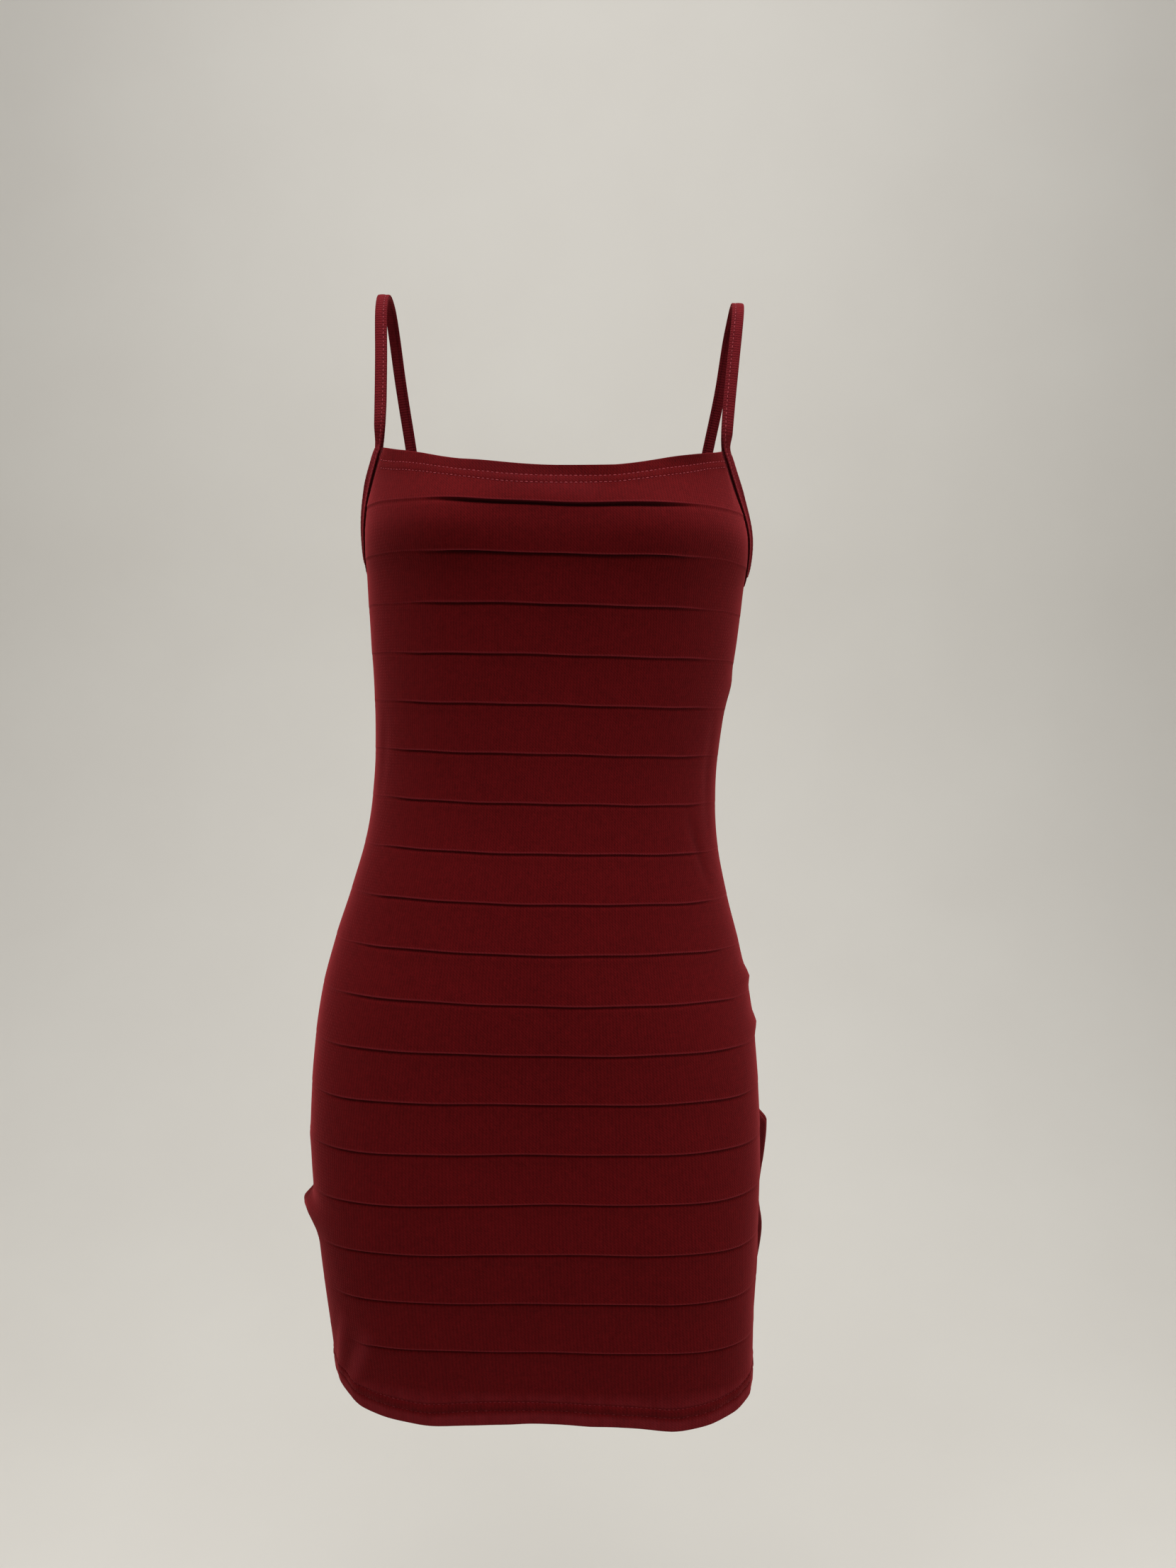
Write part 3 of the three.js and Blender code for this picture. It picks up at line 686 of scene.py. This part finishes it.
def buildPanel(name, side):
    grooveRows = sorted([-r for r in cloth["lipRows"]] + list(cloth["grooveRows"]))
    kinds = (
        (True, cloth["edgeDrops"], cloth["armDrops"], grooveRows, cloth["hemRises"]),
        (False, cloth["innerDrops"], cloth["innerArmDrops"],
         [-r for r in cloth["innerRows"]], cloth["innerRises"]),
    )
    shares = panelShares(side)
    points, marks, uvs, faces = [], [], [], []
    start = 0
    layers = []
    for outer, drops, armDrops, lineDrops, rises in kinds:
        columns = [columnRows(side, s, drops, armDrops, lineDrops, rises) for s in shares]
        counts = [len(column[0]) for column in columns]
        s = np.repeat(shares, counts)
        v = np.concatenate([column[0] for column in columns])
        drop = np.repeat([column[1] for column in columns], counts) - v
        rise = v - np.repeat([column[2] for column in columns], counts)
        at, _, (shade, sheen, away) = faceOf(side, s, v, drop, rise, outer)
        ribbed = 1 - cloth["ribLoss"] * ramp(np.abs(s), *cloth["ribFade"])
        points.append(at)
        marks.append((shade, sheen, away if outer else away + farAway, ribbed))
        uvs.append(np.stack([s * waleWidth(v) * mm, v * mm], axis=1))
        ends = start + np.cumsum(counts)
        indices = [list(range(end - count, end)) for end, count in zip(ends, counts)]
        layers.append((indices, [column[0] for column in columns]))
        flip = outer == (side == "back")
        for c in range(len(shares) - 1):
            joinColumns(indices[c], indices[c + 1], columns[c][0], columns[c + 1][0],
                        len(drops), len(rises), flip, faces)
        start = ends[-1]
    (outerRows, outerHeights), (innerRows, innerHeights) = layers
    back = side == "back"
    for c in range(len(shares) - 1):
        for row in (0, -1):
            quad = (outerRows[c][row], outerRows[c + 1][row],
                    innerRows[c + 1][row], innerRows[c][row])
            faces.append(quad[::-1] if (row == -1) != back else quad)
    for end in (0, -1):
        joinColumns(outerRows[end], innerRows[end], outerHeights[end], innerHeights[end],
                    1, 1, (end == 0) == back, faces)
    piece = makePiece(name, np.concatenate(points), faces)
    markCloth(piece, np.concatenate(uvs), *np.concatenate(marks, axis=1))
    print(name, sum(len(face) - 2 for face in faces), "triangles")
    return piece


# Ribs run down the cloth and crowd together a little where the dress is narrow.
def waleWidth(v):
    girth = cubicAt(sections, "z", "half", v) + 0.5 * cubicAt(sections, "z", "front", v)
    return 0.5 * (girth + 205)


frontCloth = buildPanel("front_panel_cloth", "front")
backCloth = buildPanel("back_panel_cloth", "back")

# Folded tape: binding round each armhole that runs on as the shoulder strap.
tape = {
    "width": 8.4,
    "thickness": 2.6,
    "slot": 5.6,
    "crease": 0.7,
    "opening": 2.2,
    "creaseOpening": 0.3,
    "leaf": 0.8,
    "edgeAir": 0.3,
    "flare": 2.3,  # the free edge of a binding stands this far out
    "flareOver": 0.1,
    "stitchIn": 6,  # topstitching, from the tape's free edge
    "spacing": 1.3,  # along the tape
    "turnIn": 8,  # the strap turns into the binding over this length
}
rawEdge = tape["width"] - tape["slot"] + tape["edgeAir"]  # where the cloth ends in the tape
strapLine = table(
    "x y z lean twist",
    (119.9, -46, -100, -1.6, 0.45),
    (120.6, -42.5, -82, -1.2, 0.15),
    (122.8, -34.5, -50, -0.5, 0),
    (125.4, -25.5, -18, 0, 0),
    (126.4, -17, -5, 0.3, 0),
    (126.8, -7, 0.5, 0.3, 0),
    (126.8, 4, 1.3, 0.3, 0),
    (126.4, 16, -3, 0.3, 0),
    (125.2, 28, -15, 0, 0),
    (121.5, 41, -49, 0, 0.1),
    (115, 53.5, -91, -0.5, 0.4),
    (109, 61, -129, -1, 0.8),
)


def onArc(x, y, radius, angles):
    turns = np.radians(angles)
    return list(zip(x + radius * np.cos(turns), y + radius * np.sin(turns)))


# Half of the folded tape's outline is drawn and mirrored. Bound is 0 on the strap
# and 1 where the tape holds the cloth.
def tapeSection(bound):
    gap = (tape["creaseOpening"] + (tape["opening"] - tape["creaseOpening"]) * bound) / 2
    shut = tape["thickness"] / 2
    half = shut + (tape["opening"] / 2 + tape["leaf"] - shut) * bound
    floor = tape["width"] - (tape["crease"] + (tape["slot"] - tape["crease"]) * bound)
    tip = (half - gap) / 2
    corner = min(half, 1.1)
    upper = [(floor, 0), (floor + 0.2, gap), (tape["width"] - tip, gap)]
    upper += onArc(tape["width"] - tip, gap + tip, tip, (-60, -30, 0, 30, 60))
    stitch = tape["stitchIn"]
    for along, sag in ((7.5, 0), (stitch + 0.7, 0.02), (stitch, 0.2), (stitch - 0.7, 0.02),
                       (4.2, -0.12), (2.4, -0.1), (1.2, 0.04)):
        upper.append((along, half - sag))
    upper += onArc(corner, half - corner, corner, (120, 145, 165))
    lower = [(along, -out) for along, out in upper[:0:-1]]
    return np.array(upper + [(0, 0)] + lower)


def tapeStations(sign):
    parts = {}
    for side in ("front", "back"):
        shares = np.linspace(0.9995, necks[side]["corner"], 74)
        s = sign * shares
        z = topHeight(side, s)
        point = formAt(side, s, z)
        across, up, normal = clothFrame(side, s, z)
        edge = point + normal * clothMiddle
        along = unit(np.gradient(edge, axis=0)) * (1 if side == "front" else -1)
        normal = squareTo(normal, along)
        inward = np.cross(normal, along) * sign
        shift = tape["width"] / 2 - rawEdge
        part = {"s": s, "z": z, "centre": edge + inward * shift, "out": normal,
                "across": across, "up": up}
        parts[side] = part if side == "front" else {k: v[::-1] for k, v in part.items()}
    front, back = parts["front"], parts["back"]
    keys = np.stack([sign * strapLine["x"] + strapLine["lean"], strapLine["y"], strapLine["z"]], 1)
    keys = np.concatenate([front["centre"][[-9, -1]], keys, back["centre"][[0, 8]]])
    twist = np.concatenate([[1, 1], strapLine["twist"], [1, 1]])
    run = np.concatenate([[0], np.cumsum(np.linalg.norm(np.diff(keys, axis=0), axis=1))])
    count = int((run[-2] - run[1]) / tape["spacing"])
    at = np.linspace(run[1], run[-2], count + 1)[1:-1]
    columns = dict(zip("xyz", keys.T), run=run)
    centre = np.stack([cubicAt(columns, "run", axis, at) for axis in "xyz"], axis=1)
    twist = np.interp(at, run, twist)[:, None]
    along = unit(np.gradient(centre, axis=0))
    near = np.where((at < at.mean())[:, None], front["out"][-1], back["out"][0])
    out = unit(np.cross([1, 0, 0], along)) * (1 - twist) + near * twist
    centre = np.concatenate([front["centre"], centre, back["centre"]])
    along = unit(np.roll(centre, -1, axis=0) - np.roll(centre, 1, axis=0))
    out = squareTo(np.concatenate([front["out"], out, back["out"]]), along)
    run = np.concatenate([[0], np.cumsum(np.linalg.norm(np.diff(centre, axis=0), axis=1))])
    ends = run[len(front["s"]) - 1], run[len(front["s"]) + len(at)]
    inside = np.maximum(ends[0] - run, run - ends[1])
    return {"centre": centre, "out": out, "inward": np.cross(out, along) * sign,
            "run": run, "inside": inside, "front": front, "back": back}


def tapePoints(stations, sections2d):
    across = sections2d[:, :, 0] - tape["width"] / 2
    flat = (stations["centre"][:, None] + stations["inward"][:, None] * across[..., None]
            + stations["out"][:, None] * sections2d[:, :, 1:2])
    curved = flat.copy()
    for side in ("front", "back"):
        part = stations[side]
        count = len(part["s"])
        rows = slice(count) if side == "front" else slice(-count, None)
        inward = stations["inward"][rows]
        a, u = part["across"], part["up"]
        skew = dot(a, u)
        size = dot(a, a) * dot(u, u) - skew ** 2
        turn = (dot(inward, a) * dot(u, u) - dot(inward, u) * skew) / size
        climb = (dot(inward, u) * dot(a, a) - dot(inward, a) * skew) / size
        reach = sections2d[rows, :, 0] - rawEdge
        s = part["s"][:, None] + turn[:, None] * reach
        z = part["z"][:, None] + climb[:, None] * reach
        normal = clothFrame(side, s, z)[2]
        free = np.clip(1 - sections2d[rows, :, 0] / (tape["width"] - tape["slot"]), 0, 1)
        past = np.clip((np.abs(part["s"]) - necks[side]["corner"]) / tape["flareOver"], 0, 1)
        lifted = sections2d[rows, :, 1] + tape["flare"] * past[:, None] * free
        curved[rows] = formAt(side, s, z) + normal * (clothMiddle + lifted)[..., None]
    weight = smooth(stations["inside"] / tape["turnIn"])[:, None, None]
    return flat + (curved - flat) * weight


def buildTape(name, sign):
    stations = tapeStations(sign)
    bound = smooth((stations["inside"] + 4) / (tape["turnIn"] + 2))
    rings = np.stack([tapeSection(b) for b in bound])
    swell = 1 + 0.035 * np.sin(stations["run"] * 1.8 + np.sin(stations["run"] * 0.31))
    rings[:, :, 1] *= swell[:, None]
    points = tapePoints(stations, rings)
    count, ring = rings.shape[:2]
    faces = []
    for i in range(count):
        j = (i + 1) % count
        for a in range(ring):
            b = (a + 1) % ring
            quad = (i * ring + a, i * ring + b, j * ring + b, j * ring + a)
            faces.append(quad[::-1] if sign < 0 else quad)
    piece = makePiece(name, points.reshape(-1, 3), faces)
    uv = np.stack([np.repeat(stations["run"], ring), rings[:, :, 0].ravel()], axis=1) * mm
    # painted shade along the topstitching and at the tape's rolled edges
    paintedShade = np.maximum(bump(rings[:, :, 0] - tape["stitchIn"], 0.6) * 0.5,
                      smooth((np.abs(rings[:, :, 0] - tape["width"] / 2) - 3.4) / 0.8) * 0.35)
    plain = np.ones(paintedShade.size)
    markCloth(piece, uv, paintedShade, 0 * plain, farAway * plain, plain)
    row = np.argmin(np.abs(rings[0, :ring // 2, 0] - tape["stitchIn"]))
    print(name, len(faces), "faces")
    return piece, points[:, row], stations["out"]


rightTape, rightRow, rightOut = buildTape("strap_binding_right_tape", -1)
leftTape, leftRow, leftOut = buildTape("strap_binding_left_tape", 1)


# Gives the function that adds a node to a tree and hands back its outputs.
def adderFor(tree):
    def add(kind, inputs=None, **settings):
        node = tree.nodes.new(kind)
        for key, value in settings.items():
            setattr(node, key, value)
        for key, value in (inputs or {}).items():
            if isinstance(value, bpy.types.NodeSocket):
                tree.links.new(value, node.inputs[key])
            else:
                node.inputs[key].default_value = value
        return node.outputs
    return add


def linear(text):
    parts = [int(text[i:i + 2], 16) / 255 for i in (1, 3, 5)]
    return tuple(p / 12.92 if p <= 0.04045 else ((p + 0.055) / 1.055) ** 2.4 for p in parts) + (1,)


def newMaterial(name):
    material = bpy.data.materials.new(name)
    material.use_nodes = True
    material.node_tree.nodes.clear()
    return material, adderFor(material.node_tree)


def addSurface(add, colour, height, look, **more):
    relief = add("ShaderNodeBump", {"Height": height, "Distance": 1})[0]
    surface = add("ShaderNodeBsdfPrincipled", {
        "Base Color": colour, "Normal": relief, "Roughness": look["roughness"],
        "Specular IOR Level": look["gleam"], **more,
    })
    add("ShaderNodeOutputMaterial", {"Surface": surface[0]})


# Viscose and elastane rib knit, brushed soft: matt and deep red head on, with a dusty pink sheen
# where the fuzz is seen edge on. Highlight is the colour of painted highlight, shadow of painted shade.
ribKnit = {
    "crest": "#620b0e",
    "valley": "#450406",
    "shadow": "#1c0204",
    "highlight": "#943038",
    "ribPitch": 1.9,  # real ribs are 1.3 apart; drawn wider so that they show
    "ribHeight": 0.09,
    "coursePitch": 1.9,  # real courses are 0.8 apart
    "courseHeight": 0.04,
    "fuzzSize": 1.2,
    "fuzzHeight": 0.1,
    "tuftSize": 4.5,  # brushed tufts lie this way and that
    "mottleSize": 1000 / 14,
    "driftSize": 1000 / 60,  # ribs wander this slowly, by this much
    "drift": 1.1,
    # the ribs' share paints their valleys darker, a painted shade; fuzz, tufts and mottle are the
    # knit's own uneven tone
    "toneStart": -0.8,  # crest and valley colours are mixed by the sum of these
    "toneShares": (0.25, 1.4, 0.6, 0.3),  # ribs, fuzz, tufts, mottle
    "lipHighlight": 0.45,
    "shade": 0.85,
    "roughness": 0.9,
    "gleam": 0.06,
    "sheen": 0.33,
    "sheenRoughness": 0.4,
    "sheenTint": "#ff5c64",
}


def ribKnitMaterial(name, look):
    material, add = newMaterial(name)
    uv = add("ShaderNodeSeparateXYZ", {0: add("ShaderNodeUVMap", uv_map="wale")["UV"]})
    ribbed, paintedShade, lip, away = (add("ShaderNodeAttribute", attribute_name=key)["Fac"]
                               for key in ("ribbed", "paintedShade", "lip", "away"))
    place = add("ShaderNodeTexCoord")["Object"]
    drift, fuzz, tufts, mottle = (
        add("ShaderNodeTexNoise", {"Vector": place, "Scale": 1 / (look[key] * mm),
                                   "Detail": detail, "Roughness": rough})["Fac"]
        for key, detail, rough in (("driftSize", 2, 0.5), ("fuzzSize", 3, 0.65),
                                   ("tuftSize", 2, 0.5), ("mottleSize", 3, 0.5)))
    wander = add("ShaderNodeMath", {0: drift, 1: look["drift"] * mm, 2: uv["X"]},
                 operation="MULTIPLY_ADD")[0]
    turn = add("ShaderNodeMath", {0: wander, 1: 2 * math.pi / (look["ribPitch"] * mm)},
               operation="MULTIPLY")[0]
    rib = add("ShaderNodeMath", {0: turn}, operation="SINE")[0]
    rib = add("ShaderNodeMath", {0: rib, 1: ribbed}, operation="MULTIPLY")[0]
    rib = add("ShaderNodeMapRange", {0: rib, 1: -1, 2: 1, 3: 0, 4: 1},
              interpolation_type="SMOOTHSTEP")[0]
    course = 2 * math.pi / (look["coursePitch"] * mm)
    loops = add("ShaderNodeMath", {0: uv["Y"], 1: course, 2: turn}, operation="MULTIPLY_ADD")[0]
    loops = add("ShaderNodeMath", {0: loops}, operation="SINE")[0]
    tone = look["toneStart"]
    for part, share in zip((rib, fuzz, tufts, mottle), look["toneShares"]):
        tone = add("ShaderNodeMath", {0: part, 1: share, 2: tone}, operation="MULTIPLY_ADD")[0]
    tone.node.use_clamp = True
    # painted highlight from the lip mark
    lipPart = add("ShaderNodeMath", {0: lip, 1: look["lipHighlight"]}, operation="MULTIPLY")[0]
    # the gap beside a binding is painted in shade, read from the distance to the raw edge
    near, far = cloth["ditch"]
    opens, closes = (
        add("ShaderNodeMapRange", {0: away, 1: start, 2: end, 3: first, 4: 1 - first},
            interpolation_type="SMOOTHSTEP")[0]
        for start, end, first in ((near - 0.6, near, 0), (far - 1.1, far, 1)))
    ditch = add("ShaderNodeMath", {0: opens, 1: closes}, operation="MULTIPLY")[0]
    # painted shade from the cloth marks and the binding gap, mixed in after the painted highlight
    dark = add("ShaderNodeMath", {0: paintedShade, 1: ditch}, operation="MAXIMUM")[0]
    dark = add("ShaderNodeMath", {0: dark, 1: look["shade"]}, operation="MULTIPLY")[0]
    colour = linear(look["valley"])
    for share, key in ((tone, "crest"), (lipPart, "highlight"), (dark, "shadow")):
        colour = add("ShaderNodeMix", {0: share, 6: colour, 7: linear(look[key])},
                     data_type="RGBA")[2]
    height = 0
    for part, tall in ((rib, "ribHeight"), (loops, "courseHeight"), (fuzz, "fuzzHeight")):
        height = add("ShaderNodeMath", {0: part, 1: look[tall] * mm, 2: height},
                     operation="MULTIPLY_ADD")[0]
    addSurface(add, colour, height, look, **{
        "IOR": 1.5, "Sheen Weight": look["sheen"], "Sheen Roughness": look["sheenRoughness"],
        "Sheen Tint": linear(look["sheenTint"]),
    })
    return material


# Spun polyester sewing thread: a little brighter than the cloth, with a soft gleam.
sewingThread = {
    "colour": "#a8434b",
    "dark": "#7c232a",
    "roughness": 0.6,
    "gleam": 0.15,
    "twist": 0.45,  # millimetres between the plies' turns
    "ply": 0.05,
}


def threadMaterial(name, look):
    material, add = newMaterial(name)
    place = add("ShaderNodeTexCoord")["Object"]
    strands = add("ShaderNodeTexNoise",
                  {"Vector": place, "Scale": 1 / (look["twist"] * mm), "Detail": 2})["Fac"]
    colour = add("ShaderNodeMix", {0: strands, 6: linear(look["dark"]), 7: linear(look["colour"])},
                 data_type="RGBA")[2]
    height = add("ShaderNodeMath", {0: strands, 1: look["ply"] * mm}, operation="MULTIPLY")[0]
    addSurface(add, colour, height, look)
    return material


knitMaterial = ribKnitMaterial("viscose_rib_knit_brushed", ribKnit)
tapeLook = dict(ribKnit, ribHeight=0.15, crest="#6a161c", valley="#500d13")
tapeMaterial = ribKnitMaterial("rib_knit_tape_folded", tapeLook)
thread = threadMaterial("polyester_sewing_thread", sewingThread)
# the hem rows use the same thread painted darker, a painted shade
hemLook = dict(sewingThread, colour="#7a1c23", dark="#570d12")
hemThread = threadMaterial("polyester_thread_shaded", hemLook)
for piece, material in ((frontCloth, knitMaterial), (backCloth, knitMaterial),
                        (rightTape, tapeMaterial), (leftTape, tapeMaterial)):
    piece.data.materials.append(material)
print("cloth and tape finished")

# Machine stitches: each lies on its row, turned to the cloth.
stitches = {
    "pitch": 3.2,
    "length": 2.3,
    "width": 0.6,
    "height": 0.45,
    "uneven": 0.15,
    "neckProud": 0.04,  # neck stitches stand out this far
    "hemProud": -0.1,  # and the hem's are pulled in
    "neckReach": {"front": 0.635, "back": 0.5},  # the s where a row ends
    "hemReach": 0.985,
}


def stitchTree():
    tree = bpy.data.node_groups.new("machineStitches", "GeometryNodeTree")
    kinds = {"Geometry": "Geometry", "Pitch": "Float", "Size": "Vector", "Uneven": "Float",
             "Seed": "Int", "Thread": "Material"}
    for name, kind in kinds.items():
        tree.interface.new_socket(name, in_out="INPUT", socket_type="NodeSocket" + kind)
    tree.interface.new_socket("Geometry", in_out="OUTPUT", socket_type="NodeSocketGeometry")
    add = adderFor(tree)
    given = add("NodeGroupInput")
    rows = add("GeometryNodeMeshToCurve", {0: given["Geometry"]})[0]
    rows = add("GeometryNodeResampleCurve", {"Curve": rows, "Length": given["Pitch"]}, mode="LENGTH")[0]
    capsule = add("GeometryNodeMeshUVSphere", {"Segments": 6, "Rings": 5, "Radius": 0.5})[0]
    capsule = add("GeometryNodeTransform", {"Geometry": capsule, "Scale": given["Size"]})[0]
    capsule = add("GeometryNodeSetShadeSmooth", {0: capsule})[0]
    run = add("GeometryNodeInputTangent")[0]
    outward = add("GeometryNodeInputNamedAttribute", {"Name": "outward"}, data_type="FLOAT_VECTOR")[0]
    turned = add("FunctionNodeAxesToRotation", {0: outward, 1: run},
                 primary_axis="Z", secondary_axis="X")[0]
    least, most = (add("ShaderNodeMath", {0: 1, 1: given["Uneven"]}, operation=step)[0]
                   for step in ("SUBTRACT", "ADD"))
    size = add("FunctionNodeRandomValue", {2: least, 3: most, "Seed": given["Seed"]},
               data_type="FLOAT")[1]
    sewn = add("GeometryNodeInstanceOnPoints",
               {"Points": rows, "Instance": capsule, "Rotation": turned, "Scale": size})[0]
    real = add("GeometryNodeRealizeInstances", {0: sewn})[0]
    real = add("GeometryNodeSetMaterial", {"Geometry": real, "Material": given["Thread"]})[0]
    add("NodeGroupOutput", {0: real})
    return tree


stitchNodes = stitchTree()


def growPiece(name, paths, tree, values):
    points, outs, edges = [], [], []
    for path, out, closed in paths:
        first = sum(len(p) for p in points)
        points.append(path)
        outs.append(out)
        edges += [(first + i, first + i + 1) for i in range(len(path) - 1)]
        if closed:
            edges.append((first + len(path) - 1, first))
    guide = makePiece(name + "_path", np.concatenate(points), [], edges)
    addAttribute(guide.data, "outward", "FLOAT_VECTOR", np.concatenate(outs))
    modifier = guide.modifiers.new("rows", "NODES")
    modifier.node_group = tree
    sockets = {item.name: item.identifier for item in tree.interface.items_tree
               if item.in_out == "INPUT"}
    for key, value in values.items():
        modifier[sockets[key]] = value
    evaluated = guide.evaluated_get(bpy.context.evaluated_depsgraph_get())
    mesh = bpy.data.meshes.new_from_object(evaluated)
    mesh.name = name
    guide.modifiers.remove(modifier)
    bpy.data.objects.remove(guide)
    print(name, len(mesh.polygons), "faces")
    return placed(name, mesh)


def edgeRow(side, reach, drop=None, rise=None):
    s = np.linspace(-reach, reach, 240)
    top, hem = nominalOf(s, topHeight(side, s)), nominalOf(s, hemHeight(side, s))
    v = top - drop * neckSpread(side, s) if rise is None else hem + rise
    path, out = faceOf(side, s, v, top - v, v - hem, True)[:2]
    proud = stitches["neckProud" if rise is None else "hemProud"]
    return path + out * proud, out, False


def neckRows(side):
    return [edgeRow(side, stitches["neckReach"][side], drop=row) for row in cloth["neckRows"]]


def hemRows(side):
    return [edgeRow(side, stitches["hemReach"], rise=row) for row in cloth["hemRows"]]


def sewRows(name, rows, seed, material):
    size = [stitches[key] * mm for key in ("length", "width", "height")]
    return growPiece(name, rows, stitchNodes, {
        "Pitch": stitches["pitch"] * mm, "Size": size, "Uneven": stitches["uneven"],
        "Seed": seed, "Thread": material,
    })


frontStitches = sewRows("front_stitches", neckRows("front"), 3, thread)
backStitches = sewRows("back_stitches", neckRows("back"), 4, thread)
frontHemStitches = sewRows("front_hem_stitches", hemRows("front"), 7, hemThread)
backHemStitches = sewRows("back_hem_stitches", hemRows("back"), 8, hemThread)
rightStitches = sewRows("strap_stitches_right", [(rightRow, rightOut, True)], 5, thread)
leftStitches = sewRows("strap_stitches_left", [(leftRow, leftOut, True)], 6, thread)
print("stitches sewn")

# Plain pale studio: a floor that sweeps up behind, under soft light.
studio = {
    "floor": -1385,
    "wall": 2400,
    "sweep": 1500,
    "half": 4000,
    "front": -3500,
    "height": 4200,
    "paint": "#dcd9d2",
    "paintLow": "#d6d2cb",
    "surround": "#dcdad6",
    "surroundStrength": 0.27,
}


def buildStudio():
    profile = [(studio["front"], studio["floor"])]
    sweep = studio["sweep"]
    profile += onArc(studio["wall"] - sweep, studio["floor"] + sweep, sweep,
                     np.linspace(-90, 0, 25))
    profile.append((studio["wall"], studio["height"]))
    points = [(x, y, z) for y, z in profile for x in (-studio["half"], studio["half"])]
    faces = [(2 * i, 2 * i + 1, 2 * i + 3, 2 * i + 2) for i in range(len(profile) - 1)]
    backdrop = makePiece("studio_backdrop", points, faces)
    material, add = newMaterial("matt_wall_paint")
    place = add("ShaderNodeTexCoord")["Object"]
    grain = add("ShaderNodeTexNoise", {"Vector": place, "Scale": 3, "Detail": 4})["Fac"]
    colour = add("ShaderNodeMix", {0: grain, 6: linear(studio["paintLow"]), 7: linear(studio["paint"])},
                 data_type="RGBA")[2]
    surface = add("ShaderNodeBsdfPrincipled", {"Base Color": colour, "Roughness": 0.9})
    add("ShaderNodeOutputMaterial", {"Surface": surface[0]})
    backdrop.data.materials.append(material)


# Soft boxes: place, what they face, size and watts.
lights = {
    "overhead_softbox": ((-220, -760, 1550), (0, 0, -350), 1500, 50),
    "left_fill": ((-2200, -300, 0), (0, 0, -400), 1600, 2),
    "right_fill": ((1500, -200, -180), (0, 0, -330), 900, 8),
    "wall_wash": ((0, 300, 3000), (0, 1900, -600), 2600, 55),
}


def buildLights():
    for name, (at, faced, size, watts) in lights.items():
        lamp = bpy.data.lights.new(name, "AREA")
        lamp.size = size * mm
        lamp.energy = watts
        holder = placed(name, lamp)
        holder.location = Vector(at) * mm
        aim = Vector(faced) * mm - holder.location
        holder.rotation_euler = aim.to_track_quat("-Z", "Y").to_euler()
    world = bpy.data.worlds.new("pale_surround")
    world.use_nodes = True
    background = world.node_tree.nodes["Background"]
    background.inputs[0].default_value = linear(studio["surround"])
    background.inputs[1].default_value = studio["surroundStrength"]
    bpy.context.scene.world = world


# The photograph's viewpoint: just below the bust, looking a little down, a touch tilted.
view = {"at": (28.3, -870, -301.4), "pitch": 3, "roll": 1.4, "lens": 27.03, "sensor": 36}


def buildCamera():
    data = bpy.data.cameras.new("photo_view")
    data.lens = view["lens"]
    data.sensor_width = view["sensor"]
    data.sensor_fit = "AUTO"
    data.clip_end = 50
    camera = placed("photo_view", data)
    pitch = Matrix.Rotation(math.radians(90 - view["pitch"]), 4, "X")
    roll = Matrix.Rotation(math.radians(view["roll"]), 4, "Z")
    camera.matrix_world = Matrix.Translation(Vector(view["at"]) * mm) @ pitch @ roll
    bpy.context.scene.camera = camera


buildStudio()
buildLights()
buildCamera()
bpy.context.scene.view_settings.view_transform = "Standard"
print("studio set")

for piece, slot in ((frontCloth, "knit"), (backCloth, "knit"), (rightTape, "tape"), (leftTape, "tape"),
                    (frontStitches, "knit"), (backStitches, "knit"),
                    (frontHemStitches, "knit"), (backHemStitches, "knit"),
                    (rightStitches, "tape"), (leftStitches, "tape")):
    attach(piece, "root")
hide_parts("front_panel")
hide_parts("back_panel")
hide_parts("strap_binding_right")
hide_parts("strap_binding_left")
